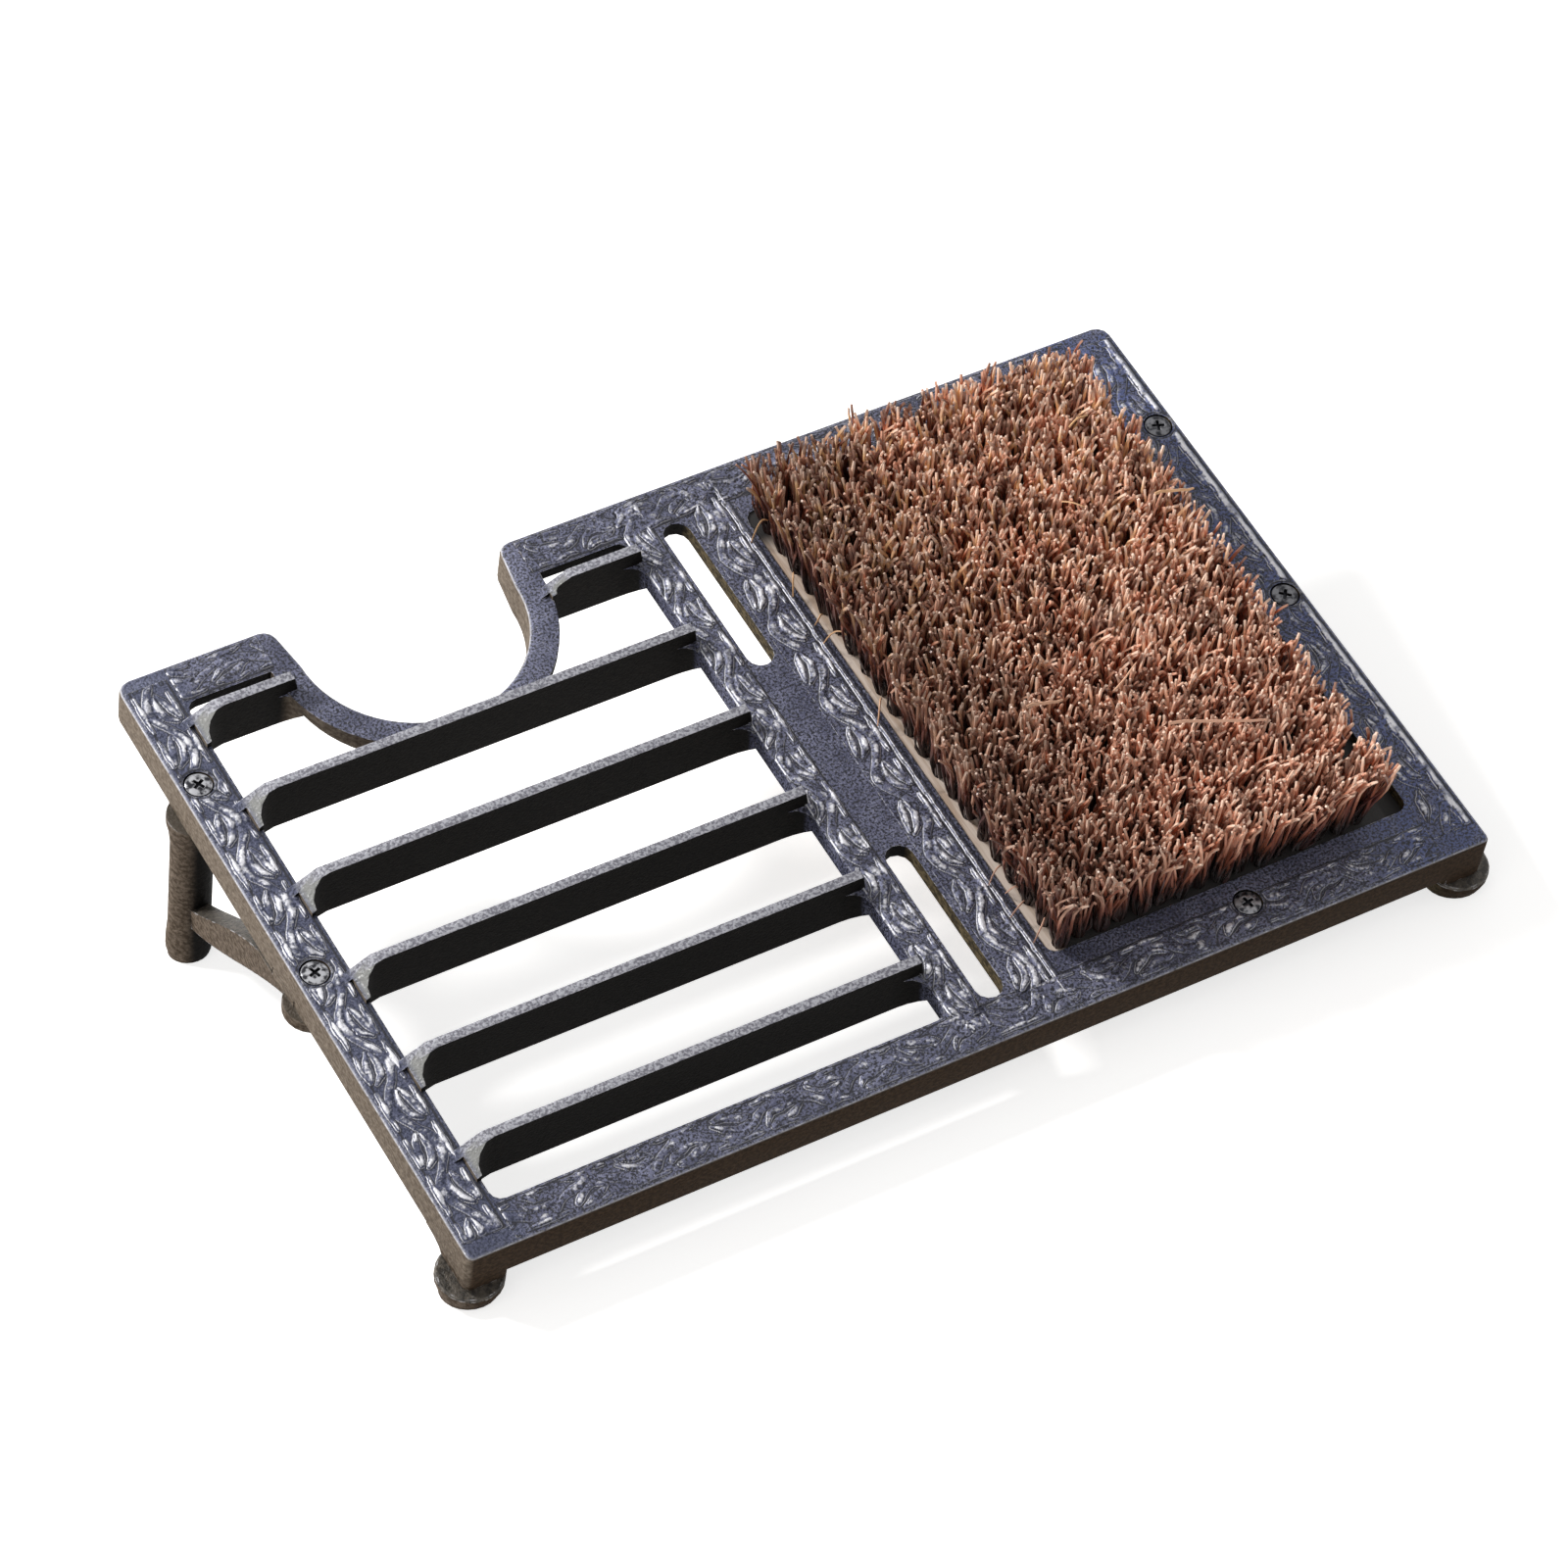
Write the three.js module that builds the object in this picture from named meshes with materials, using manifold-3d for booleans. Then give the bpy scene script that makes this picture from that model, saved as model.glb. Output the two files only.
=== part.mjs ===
// Cast-iron boot scraper: a sloping plate with scraper blades, a boot-jack notch and a coir brush,
// on two front feet and two rear leg brackets. Millimetres, +Z up, front of the scraper towards -Y.
import * as THREE from 'three'
import { mergeVertices } from 'three/addons/utils/BufferGeometryUtils.js'
import Module from 'manifold-3d'

const wasm = await Module()
wasm.setup()

// Plate
const plateWidth = 370
const plateDepth = 240
const webThickness = 4
const rimHeight = 14.3
const rimWall = 4
const edgeRound = 1.2
const frontCornerRadius = 2.5
const rearCornerRadius = 5
const plateTilt = 15
const sideBorder = 17
const grilleWidth = 159
const frontBorder = 15.5
const rearBorder = 16

// Scraper blades
const bladeGaps = 5
const bladePitch = 36.2
const firstBladeFront = 33.1
const bladeThickness = 3.4
const bladeRise = 6
const bladeFillet = 9
const bladeEndFillet = 6
const bladeEndFilletDrop = 0.5
const bladeBandFillet = 2
const bladeRampReach = 7.5
const bladeEndSlope = 1.5
const bladeRoot = 1.5
const grilleCorner = 4

// Boot-jack notch, open to the rear
const notchCentreX = 96
const notchRadius = 38.5
const notchCentreFromRear = 18
const notchFlare = 2.5
const notchCornerRadius = 5
const notchBand = 9.8
const splitBladeOnBand = 3

// Divider between grille and brush, with its two slots
const dividerWidth = 41
const dividerWall = 3
const dividerWallDepth = 6.5
const slotWidth = 9.5
const slotLength = 64
const slotFromDivider = 12.4
const slotCollarWall = 3
const slotCollarDepth = 5.5

// Brush
const brushBorder = 17.5
const brushEndBorder = 22
const openingCorner = 4
const stockThickness = 8
const stockOverlap = 9
const stockEndInset = 0.6
const sliceHeight = 3.5
const sliceCount = 4
const strandsPerSliceAcross = 4
const strandRows = 21
const strandLength = 27
const strandWidth = 3
const strandTip = 2.2
const strandLean = 1.6
const bristleSideMargin = 3.5
const bristleEndMargin = 0.5
const strandRoot = 1
const strandSides = 4
const swayAcross = [5.1, 2.3]
const swayBack = [3.7, 4.9]
const swayLength = [7.7, 1.9]
const stockCorner = 2

// Screws, studs and nuts
const screwShankRadius = 2.4
const screwHeadRadius = 4.5
const screwHeadDepth = 2.8
const screwHeadEdge = 0.6
const screwCrown = 0.3
const screwTipChamfer = 0.5
const recessWidth = 1.1
const recessLength = 5.4
const recessDepth = 1.3
const legScrewLength = 28
const washerRadius = 5.2
const washerThickness = 1
const nutRadius = 4.6
const nutThickness = 4
const nutSides = 6
const brushScrewFromEdge = 12.5
const studRadius = 3
const studReach = 5

// Feet and leg brackets
const bossRadius = 9.5
const bossTop = 3
const bossInset = 0.2
const screwFromSide = 6.7
const legFromRear = 46.6
const padFromRear = 126.4
const padThickness = 7.5
const padDrop = 4.5
const footRadius = 10.9
const footTipRadius = 9.7
const footFromSide = 5.2
const footFromFront = 6.5
const footBossDrop = 3
const footWeb = 10
const footLength = 8.7
const footChamfer = 0.6
const footTaper = 2.6
const footTipEdge = 2
const columnTopRadius = 8.5
const columnWaistRadius = 7
const columnFootRadius = 7.5
const columnCollar = 12
const columnFlare = 14
const columnEdge = 0.8
const columnBand = 3
const columnShift = 1.5
const legSplay = 3.9
const legLean = 8.9
const strutWidth = 6.5
const strutThickness = 7
const strutDrop = 45.8
const strutEndDrop = 1.3
const strutRimLength = 23.5
const strutToe = 6
const strutBend = { near: 0.32, far: 0.69, rise: 0.16, sag: 0.06, steps: 12 }
const tabLength = 14

// Clearances
const seatGap = 0.3
const holeClearance = 0.3
const headClearance = 0.5

// Joining, cutting and rounding
const overlap = 1
const arcStep = 4
const cornerSlack = 0.01
const roundSides = 24
const smallSides = 16
const roundSteps = 2

// Finish
const iron = { color: 0x3a3b46, roughness: 0.55, metalness: 0.6 }
const steel = { color: 0x5b5c60, roughness: 0.4, metalness: 0.9 }
const wood = { color: 0xcdb9a4, roughness: 0.8, metalness: 0 }
const coir = { color: 0x8a4f3a, roughness: 0.9, metalness: 0 }

// Values that follow from the sizes above
const tilt = THREE.MathUtils.degToRad(plateTilt)
const grilleLeft = sideBorder
const brushRight = plateWidth - brushBorder
const grilleRight = sideBorder + grilleWidth
const brushLeft = grilleRight + dividerWidth
const grilleRear = plateDepth - rearBorder
const notchCentreY = plateDepth - notchCentreFromRear
const legY = plateDepth - legFromRear
const padY = plateDepth - padFromRear
const screwCentreX = (brushLeft + brushRight) / 2
const rearMostBladeFront = firstBladeFront + bladeGaps * bladePitch
const stockTop = -webThickness - seatGap
const stockBottom = stockTop - stockThickness
const sliceBottom = stockTop + seatGap
const footTop = -rimHeight - footBossDrop - seatGap
const footBottom = footTop - footLength
const big = 1000

// Height of the floor below the plate's upper face, measured square to the plate
function floorDepth(y) {
  return footBottom - (y - footFromFront) * Math.tan(tilt)
}

// A round stretch of an outline
function arc(x, y, radius, from, to) {
  const steps = Math.max(3, Math.round((Math.abs(to - from) * radius) / arcStep))
  return Array.from({ length: steps + 1 }, (_, i) => {
    const a = from + ((to - from) * i) / steps
    return new THREE.Vector2(x + radius * Math.cos(a), y + radius * Math.sin(a))
  })
}

// An outline from corners [x, y, radius] with rounded corners
function rounded(corners) {
  return corners.flatMap(([x, y, radius = 0], i) => {
    const corner = new THREE.Vector2(x, y)
    if (!radius) return [corner]
    const before = corners[(i + corners.length - 1) % corners.length]
    const after = corners[(i + 1) % corners.length]
    const back = new THREE.Vector2(before[0], before[1]).sub(corner).normalize()
    const on = new THREE.Vector2(after[0], after[1]).sub(corner).normalize()
    const half = Math.acos(back.dot(on)) / 2
    const centre = corner.clone().add(back.clone().add(on).setLength(radius / Math.sin(half)))
    const start = corner.clone().addScaledVector(back, radius / Math.tan(half)).sub(centre).angle()
    let end = corner.clone().addScaledVector(on, radius / Math.tan(half)).sub(centre).angle()
    if (end - start > Math.PI) end -= 2 * Math.PI
    if (start - end > Math.PI) end += 2 * Math.PI
    return arc(centre.x, centre.y, radius, start, end)
  })
}

function rectangle(left, right, front, rear, radius = 0) {
  return rounded([[left, front, radius], [right, front, radius], [right, rear, radius], [left, rear, radius]])
}

// Solids for cutting and joining
function solid(geometry) {
  const bare = geometry.clone()
  bare.deleteAttribute('normal')
  bare.deleteAttribute('uv')
  const merged = mergeVertices(bare, 1e-4)
  return new wasm.Manifold(
    new wasm.Mesh({
      numProp: 3,
      vertProperties: merged.attributes.position.array,
      triVerts: Uint32Array.from(merged.index.array)
    })
  )
}

function prism(points, bottom, top) {
  const shape = new THREE.Shape(points)
  return solid(
    new THREE.ExtrudeGeometry(shape, { depth: top - bottom, bevelEnabled: false }).translate(0, 0, bottom)
  )
}

// A prism of an outline in depth and height, from one x to another
function sidePrism(points, left, right) {
  const geometry = new THREE.ExtrudeGeometry(new THREE.Shape(points), {
    depth: right - left,
    bevelEnabled: false
  })
  const turn = new THREE.Matrix4().makeBasis(
    new THREE.Vector3(0, 1, 0),
    new THREE.Vector3(0, 0, 1),
    new THREE.Vector3(1, 0, 0)
  )
  return solid(geometry.applyMatrix4(turn).translate(left, 0, 0))
}

// A prism of an outline in width and height, from one y to another
function frontPrism(points, front, rear) {
  const geometry = new THREE.ExtrudeGeometry(new THREE.Shape(points), {
    depth: rear - front,
    bevelEnabled: false
  })
  return solid(geometry.rotateX(Math.PI / 2).translate(0, rear, 0))
}

function block(left, right, front, rear, bottom, top) {
  const geometry = new THREE.BoxGeometry(right - left, rear - front, top - bottom)
  return solid(geometry.translate((left + right) / 2, (front + rear) / 2, (bottom + top) / 2))
}

// A turned solid about the vertical, from its profile of [radius, height] upwards
function turned(profile, sides = roundSides) {
  const points = profile.map(([radius, height]) => new THREE.Vector2(radius, height))
  return new THREE.LatheGeometry(points, sides).rotateX(Math.PI / 2)
}

function disc(x, y, radius, bottom, top, sides = roundSides) {
  const profile = [[0, bottom], [radius, bottom], [radius, top], [0, top]]
  return solid(turned(profile, sides).translate(x, y, 0))
}

// Everything below the floor, in the plate's frame
function belowFloor() {
  const geometry = new THREE.BoxGeometry(big, big, big).translate(0, 0, -big / 2).rotateX(-tilt)
  return solid(geometry.translate(plateWidth / 2, footFromFront, footBottom))
}

// The outline of the plate, moved in by an inset
function plateOutline(inset) {
  const right = plateWidth - inset
  const rear = plateDepth - inset
  const front = Math.max(frontCornerRadius - inset, edgeRound)
  const back = Math.max(rearCornerRadius - inset, edgeRound)
  const wing = Math.max(notchCornerRadius - inset, edgeRound)
  const radius = notchRadius + inset
  const half = radius + notchFlare
  return [
    ...rounded([
      [notchCentreX - half, rear, wing],
      [inset, rear, back],
      [inset, inset, front],
      [right, inset, front],
      [right, rear, back],
      [notchCentreX + half, rear, wing],
      [notchCentreX + radius, notchCentreY],
      [notchCentreX - radius, notchCentreY]
    ]).slice(0, -2),
    ...arc(notchCentreX, notchCentreY, radius, 0, -Math.PI)
  ]
}

// The notch and, with a margin, the band of metal round it
function notchSpace(margin, bottom, top) {
  const radius = notchRadius + margin
  const half = radius + notchFlare
  return prism(
    [
      new THREE.Vector2(notchCentreX - half, plateDepth),
      ...arc(notchCentreX, notchCentreY, radius, Math.PI, 2 * Math.PI),
      new THREE.Vector2(notchCentreX + half, plateDepth)
    ],
    bottom,
    top
  )
}

// A scraper blade between two edges of the border. It ramps up from the left one and ends steeply
// at the right one, with a fillet along its front at both ends; the right one's lower edge rises
// from the blade's to that of the divider's wall
function blade(left, right, rootLeft, rootRight, front, leftFillet = bladeFillet) {
  const leftFoot = front - leftFillet
  const plan = [
    new THREE.Vector2(rootLeft, front),
    new THREE.Vector2(left - bladeRoot, front),
    new THREE.Vector2(left - bladeRoot, leftFoot),
    ...arc(left + leftFillet, leftFoot, leftFillet, Math.PI, Math.PI / 2),
    new THREE.Vector2(rootRight, front),
    new THREE.Vector2(rootRight, front + bladeThickness),
    new THREE.Vector2(rootLeft, front + bladeThickness)
  ]
  const side = [
    new THREE.Vector2(rootLeft, -rimHeight),
    new THREE.Vector2(rootRight, -rimHeight),
    new THREE.Vector2(rootRight, -bladeRoot),
    new THREE.Vector2(right + bladeEndSlope, -bladeRoot),
    new THREE.Vector2(right, bladeRise),
    new THREE.Vector2(left + bladeRise, bladeRise),
    new THREE.Vector2(left - bladeRampReach, -bladeRoot),
    new THREE.Vector2(rootLeft, -bladeRoot)
  ]
  const along = frontPrism(side, leftFoot - overlap, front + bladeThickness + overlap)
  const rightFoot = front - bladeEndFillet
  const endPlan = [
    ...arc(right - bladeEndFillet, rightFoot, bladeEndFillet, Math.PI / 2, 0),
    new THREE.Vector2(right + bladeRoot, rightFoot),
    new THREE.Vector2(right + bladeRoot, front + bladeRoot),
    new THREE.Vector2(right - bladeEndFillet, front + bladeRoot)
  ]
  const endSide = [
    new THREE.Vector2(rightFoot, -dividerWallDepth),
    new THREE.Vector2(front, -rimHeight),
    new THREE.Vector2(front + bladeRoot, -rimHeight),
    new THREE.Vector2(front + bladeRoot, -bladeEndFilletDrop),
    new THREE.Vector2(rightFoot, -bladeEndFilletDrop)
  ]
  const endFillet = prism(endPlan, -rimHeight, -bladeEndFilletDrop).intersect(
    sidePrism(endSide, right - bladeEndFillet - overlap, right + bladeRoot + overlap)
  )
  return prism(plan, -rimHeight, bladeRise).intersect(along).add(endFillet)
}

function slotOutline(front, margin) {
  const left = grilleRight + slotFromDivider - margin
  const right = left + slotWidth + 2 * margin
  const radius = slotWidth / 2 + margin - cornerSlack
  return rectangle(left, right, front - margin, front + slotLength + margin, radius)
}

function openingOutline(inset) {
  return rectangle(
    brushLeft + inset,
    brushRight - inset,
    brushEndBorder + inset,
    plateDepth - brushEndBorder - inset,
    openingCorner
  )
}

// A countersunk hole from the plate's upper face
function screwHole(x, y) {
  const shank = screwShankRadius + holeClearance
  const head = screwHeadRadius + headClearance
  const profile = [
    [0, -2 * legScrewLength],
    [shank, -2 * legScrewLength],
    [shank, -screwHeadDepth - headClearance],
    [head, -edgeRound - headClearance],
    [head, overlap],
    [0, overlap]
  ]
  return solid(turned(profile).translate(x, y, 0))
}

const legScrewPlaces = [
  ['leg_screw_rear_left', screwFromSide, legY],
  ['leg_screw_front_left', screwFromSide, padY],
  ['leg_screw_rear_right', plateWidth - screwFromSide, legY],
  ['leg_screw_front_right', plateWidth - screwFromSide, padY]
]
const brushScrewPlaces = [
  ['front', screwCentreX, brushScrewFromEdge],
  ['rear', screwCentreX, plateDepth - brushScrewFromEdge]
]
const slotFronts = [frontBorder, grilleRear - slotLength]
const padTop = -rimHeight - padDrop + padThickness
const padSeat = padTop + seatGap

// The rim's lower edge curves down to each front foot, seen from the side
function footWebOutline() {
  const post = footFromFront + Math.sqrt(footRadius ** 2 - footFromSide ** 2)
  const curve = arc(0, 0, 1, Math.PI, Math.PI / 2).map(
    ({ x, y }) =>
      new THREE.Vector2(post + footWeb * (1 + x), -rimHeight - footBossDrop * (1 - y))
  )
  return [
    new THREE.Vector2(post - rimWall, -rimHeight + overlap),
    new THREE.Vector2(post - rimWall, -rimHeight - footBossDrop),
    ...curve,
    new THREE.Vector2(post + footWeb, -rimHeight + overlap)
  ]
}

// The casting: rim, web, blades, notch, slots, bosses and holes
function scraperPlate() {
  const body = new THREE.ExtrudeGeometry(new THREE.Shape(plateOutline(edgeRound)), {
    depth: rimHeight - 2 * edgeRound,
    bevelThickness: edgeRound,
    bevelSize: edgeRound,
    bevelSegments: roundSteps
  }).translate(0, 0, edgeRound - rimHeight)
  const bladeFronts = Array.from({ length: bladeGaps }, (_, i) => firstBladeFront + i * bladePitch)
  const bandFront = bladeFronts.at(-1)
  const band = notchSpace(notchBand, -rimHeight, 0).intersect(
    block(0, plateWidth, bandFront, plateDepth, -rimHeight, overlap)
  )
  const grille = prism(
    rectangle(grilleLeft, grilleRight, frontBorder, grilleRear, grilleCorner),
    -2 * rimHeight,
    overlap
  ).subtract(band)
  let plate = solid(body)
    .subtract(prism(plateOutline(rimWall), -2 * rimHeight, -webThickness))
    .subtract(grille)
  const rootLeft = rimWall - overlap
  const rootRight = grilleRight + slotFromDivider - slotCollarWall + overlap
  for (const front of bladeFronts) {
    plate = plate.add(blade(grilleLeft, grilleRight, rootLeft, rootRight, front))
  }
  const bandLeft = notchCentreX - notchRadius - notchBand
  const bandRight = notchCentreX + notchRadius + notchBand
  const inBand = notchBand - rimWall / 2
  const shortBlades = blade(
    grilleLeft,
    bandLeft + splitBladeOnBand,
    rootLeft,
    bandLeft + inBand,
    rearMostBladeFront
  ).add(
    blade(
      bandRight,
      grilleRight,
      bandRight - inBand,
      rootRight,
      rearMostBladeFront,
      bladeBandFillet
    )
  )
  plate = plate.add(shortBlades.subtract(notchSpace(0, -2 * rimHeight, 2 * bladeRise)))
  for (const front of slotFronts) {
    plate = plate
      .add(prism(slotOutline(front, slotCollarWall), -slotCollarDepth, -overlap))
      .subtract(prism(slotOutline(front, 0), -rimHeight, overlap))
  }
  plate = plate
    .subtract(prism(openingOutline(0), -rimHeight, overlap))
    .add(
      block(
        grilleRight,
        grilleRight + dividerWall,
        rimWall - overlap,
        plateDepth - rimWall + overlap,
        -dividerWallDepth,
        -overlap
      )
    )
  const inside = prism(plateOutline(bossInset), -2 * rimHeight, 0)
  for (const x of [footFromSide, plateWidth - footFromSide]) {
    const edge = x < screwCentreX ? bossInset : plateWidth - rimWall
    plate = plate
      .add(disc(x, footFromFront, footRadius, -rimHeight - footBossDrop, -bossTop).intersect(inside))
      .add(sidePrism(footWebOutline(), edge, edge + rimWall - bossInset))
      .subtract(
        disc(
          x,
          footFromFront,
          studRadius + holeClearance,
          -big,
          footTop + seatGap + studReach + holeClearance
        )
      )
  }
  for (const x of [screwFromSide, plateWidth - screwFromSide]) {
    const inner = x < screwCentreX ? strutWidth + seatGap : plateWidth - strutWidth - seatGap
    const outer = x < screwCentreX ? -overlap : plateWidth + overlap
    plate = plate
      .add(disc(x, legY, bossRadius, -rimHeight, -bossTop).intersect(inside))
      .add(disc(x, padY, bossRadius, padSeat, -bossTop).intersect(inside))
      .subtract(disc(x, padY, bossRadius + seatGap, -2 * rimHeight, padSeat))
      .subtract(
        block(
          Math.min(inner, outer),
          Math.max(inner, outer),
          padY,
          padY + tabLength + seatGap,
          -2 * rimHeight,
          padSeat
        )
      )
  }
  for (const [, x, y] of [...legScrewPlaces, ...brushScrewPlaces]) {
    plate = plate.subtract(screwHole(x, y))
  }
  return plate
}

// Column, strut and end pad in one casting, left-hand side. The column stands a little further
// out than its screw
function legBracket() {
  const top = new THREE.Vector3(screwFromSide - columnShift, legY, -rimHeight - seatGap)
  const footY = legY - legLean
  const foot = new THREE.Vector3(top.x - legSplay, footY, floorDepth(footY))
  const axis = top.clone().sub(foot)
  const length = axis.length()
  const spare = columnTopRadius
  const profile = [
    [0, -spare],
    [columnFootRadius - columnEdge, -spare],
    [columnFootRadius - columnEdge, 0],
    [columnFootRadius, columnBand],
    [columnFootRadius, columnFlare / 2],
    [columnWaistRadius, columnFlare],
    [columnWaistRadius, length - columnCollar],
    [columnTopRadius - columnEdge, length - columnCollar / 2],
    [columnTopRadius, length - columnBand],
    [columnTopRadius, length + spare],
    [0, length + spare]
  ]
  const turn = new THREE.Quaternion().setFromUnitVectors(
    new THREE.Vector3(0, 0, 1),
    axis.clone().normalize()
  )
  const column = solid(
    turned(profile).applyQuaternion(turn).translate(foot.x, foot.y, foot.z)
  )
    .subtract(block(-big, big, 0, plateDepth, top.z, 0))
    .subtract(belowFloor())

  // The strut's lower and upper edges are two like curves from the column to the rim
  const start = legY - (legLean * strutDrop) / -floorDepth(footY)
  const bend = (from, to) =>
    new THREE.CubicBezierCurve(
      from,
      from.clone().lerp(to, strutBend.near).add(new THREE.Vector2(0, (from.y - to.y) * strutBend.rise)),
      from.clone().lerp(to, strutBend.far).add(new THREE.Vector2(0, (to.y - from.y) * strutBend.sag)),
      to
    ).getPoints(strutBend.steps)
  const low = -rimHeight - strutEndDrop
  const lower = bend(
    new THREE.Vector2(start, -rimHeight - strutDrop),
    new THREE.Vector2(padY + strutToe, low)
  )
  const upper = bend(
    new THREE.Vector2(padY + strutRimLength, top.z),
    new THREE.Vector2(start, -rimHeight - strutDrop + strutThickness)
  )
  const strut = sidePrism(
    [
      ...lower,
      new THREE.Vector2(padY, low),
      new THREE.Vector2(padY, padTop),
      new THREE.Vector2(padY + tabLength, padTop),
      new THREE.Vector2(padY + tabLength, top.z),
      ...upper
    ].reverse(),
    0,
    strutWidth
  )
  const shank = screwShankRadius + holeClearance
  return column
    .add(strut)
    .add(
      disc(screwFromSide, padY, bossRadius, -rimHeight - padDrop, padTop).subtract(
        block(-big, bossInset, padY - 2 * bossRadius, padY + 2 * bossRadius, -rimHeight, 0)
      )
    )
    .subtract(disc(screwFromSide, legY, shank, -legScrewLength - overlap, 0, smallSides))
    .subtract(disc(screwFromSide, padY, shank, -2 * rimHeight, 0, smallSides))
}

// A short foot, flat on the floor, with a blind hole for its stud
function frontFoot() {
  const spare = footRadius
  const profile = [
    [0, footBottom - spare],
    [footTipRadius - footTipEdge, footBottom - spare],
    [footTipRadius, footBottom + footTaper],
    [footRadius, footTop - footTaper],
    [footRadius, footTop - footChamfer],
    [footRadius - footChamfer, footTop],
    [0, footTop]
  ]
  return solid(turned(profile).translate(footFromSide, footFromFront, 0))
    .subtract(belowFloor())
    .subtract(
      disc(
        footFromSide,
        footFromFront,
        studRadius + holeClearance,
        footTop - studReach - holeClearance,
        footTop + overlap
      )
    )
}

// A screw with a countersunk head and a cross recess, head uppermost at the origin
function crossScrew(length) {
  const profile = [
    [0, -length],
    [screwShankRadius - screwTipChamfer, -length],
    [screwShankRadius, -length + screwTipChamfer],
    [screwShankRadius, -screwHeadDepth],
    [screwHeadRadius, -edgeRound],
    [screwHeadRadius, -screwCrown],
    [screwHeadRadius - screwHeadEdge, 0],
    [0, screwCrown]
  ]
  const bar = block(
    -recessLength / 2,
    recessLength / 2,
    -recessWidth / 2,
    recessWidth / 2,
    -recessDepth,
    overlap
  )
  const crossBar = block(
    -recessWidth / 2,
    recessWidth / 2,
    -recessLength / 2,
    recessLength / 2,
    -recessDepth,
    overlap
  )
  return solid(turned(profile, smallSides)).subtract(bar).subtract(crossBar)
}

// A ring or nut round a screw's shank
function collar(radius, thickness, sides) {
  return disc(0, 0, radius, -thickness, 0, sides).subtract(
    disc(0, 0, screwShankRadius + holeClearance, -thickness - overlap, overlap, smallSides)
  )
}

function brushStock() {
  let stock = prism(
    rectangle(
      brushLeft - stockOverlap,
      brushRight + stockOverlap,
      rimWall + stockEndInset,
      plateDepth - rimWall - stockEndInset,
      stockCorner
    ),
    stockBottom,
    stockTop
  )
  for (const [, x, y] of brushScrewPlaces) {
    stock = stock.subtract(disc(x, y, screwShankRadius + holeClearance, -big, 0, smallSides))
  }
  for (const y of [legY, padY]) {
    stock = stock.subtract(disc(plateWidth - screwFromSide, y, bossRadius + stockEndInset, -big, 0))
  }
  return stock.subtract(
    disc(plateWidth - footFromSide, footFromFront, footRadius + stockEndInset, -big, 0)
  )
}

// One coir strand from its root, with its tip leaned over
function strand(x, y, leanX, leanY, length) {
  const shear = new THREE.Matrix4().set(
    1, 0, leanX / length, x,
    0, 1, leanY / length, y,
    0, 0, 1, sliceBottom + sliceHeight - strandRoot,
    0, 0, 0, 1
  )
  const geometry = new THREE.CylinderGeometry(
    strandTip / Math.SQRT2,
    strandWidth / Math.SQRT2,
    length + strandRoot,
    strandSides
  )
  const upright = geometry.rotateX(Math.PI / 2).translate(0, 0, (length + strandRoot) / 2)
  return solid(upright.applyMatrix4(shear))
}

// A slice of the raised part of the stock with its strands, every other row of them set back
function bristles(index) {
  const left = brushLeft + bristleSideMargin
  const sliceWidth = (brushRight - bristleSideMargin - left) / sliceCount
  const from = index ? left + index * sliceWidth + seatGap / 2 : 0
  const to = index < sliceCount - 1 ? left + (index + 1) * sliceWidth - seatGap / 2 : plateWidth
  let slice = prism(openingOutline(seatGap), sliceBottom, sliceBottom + sliceHeight).intersect(
    block(from, to, 0, plateDepth, -rimHeight, overlap)
  )
  const front = brushEndBorder + bristleEndMargin
  const rowPitch = (plateDepth - 2 * front) / strandRows
  const columns = sliceCount * strandsPerSliceAcross
  for (let row = 0; row < strandRows; row++) {
    for (let i = 0; i < strandsPerSliceAcross; i++) {
      const column = index * strandsPerSliceAcross + i
      const leanX = strandLean * Math.sin(swayAcross[0] * column + swayAcross[1] * row)
      const leanY = strandLean * Math.cos(swayBack[0] * column + swayBack[1] * row)
      const length = strandLength + Math.sin(swayLength[0] * column + swayLength[1] * row)
      const x = left + ((column + 0.5) * sliceCount * sliceWidth) / columns
      const stagger = ((column % 2 ? 1 : -1) * rowPitch) / 4
      slice = slice.add(strand(x, front + (row + 0.5) * rowPitch + stagger, leanX, leanY, length))
    }
  }
  return slice
}

function finish({ color, roughness, metalness }) {
  return new THREE.MeshStandardMaterial({ color, roughness, metalness, flatShading: true })
}

function piece(name, made, look) {
  const { vertProperties, triVerts } = made.getMesh()
  const geometry = new THREE.BufferGeometry()
  geometry.setAttribute('position', new THREE.BufferAttribute(vertProperties, 3))
  geometry.setIndex(new THREE.BufferAttribute(triVerts, 1))
  geometry.computeVertexNormals()
  const mesh = new THREE.Mesh(geometry, finish(look))
  mesh.name = name
  return mesh
}

// The twin of a left-hand piece on the right-hand side
function twin(mesh, name) {
  const copy = new THREE.Mesh(mesh.geometry, mesh.material.clone())
  copy.name = name
  copy.scale.x = -1
  copy.position.x = plateWidth
  return copy
}

function placed(mesh, x, y, z) {
  mesh.position.set(x, y, z)
  return mesh
}

// The sloping assembly, in the plate's own frame
const slope = new THREE.Group()
slope.add(piece('scraper_plate', scraperPlate(), iron))

const leftBracket = piece('leg_bracket_left', legBracket(), iron)
slope.add(leftBracket, twin(leftBracket, 'leg_bracket_right'))

const leftFoot = piece('front_foot_left', frontFoot(), iron)
slope.add(leftFoot, twin(leftFoot, 'front_foot_right'))

for (const [side, x] of [['left', footFromSide], ['right', plateWidth - footFromSide]]) {
  const stud = disc(0, 0, studRadius, footTop - studReach, footTop + seatGap + studReach, smallSides)
  slope.add(placed(piece('foot_stud_' + side, stud, steel), x, footFromFront, 0))
}

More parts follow.
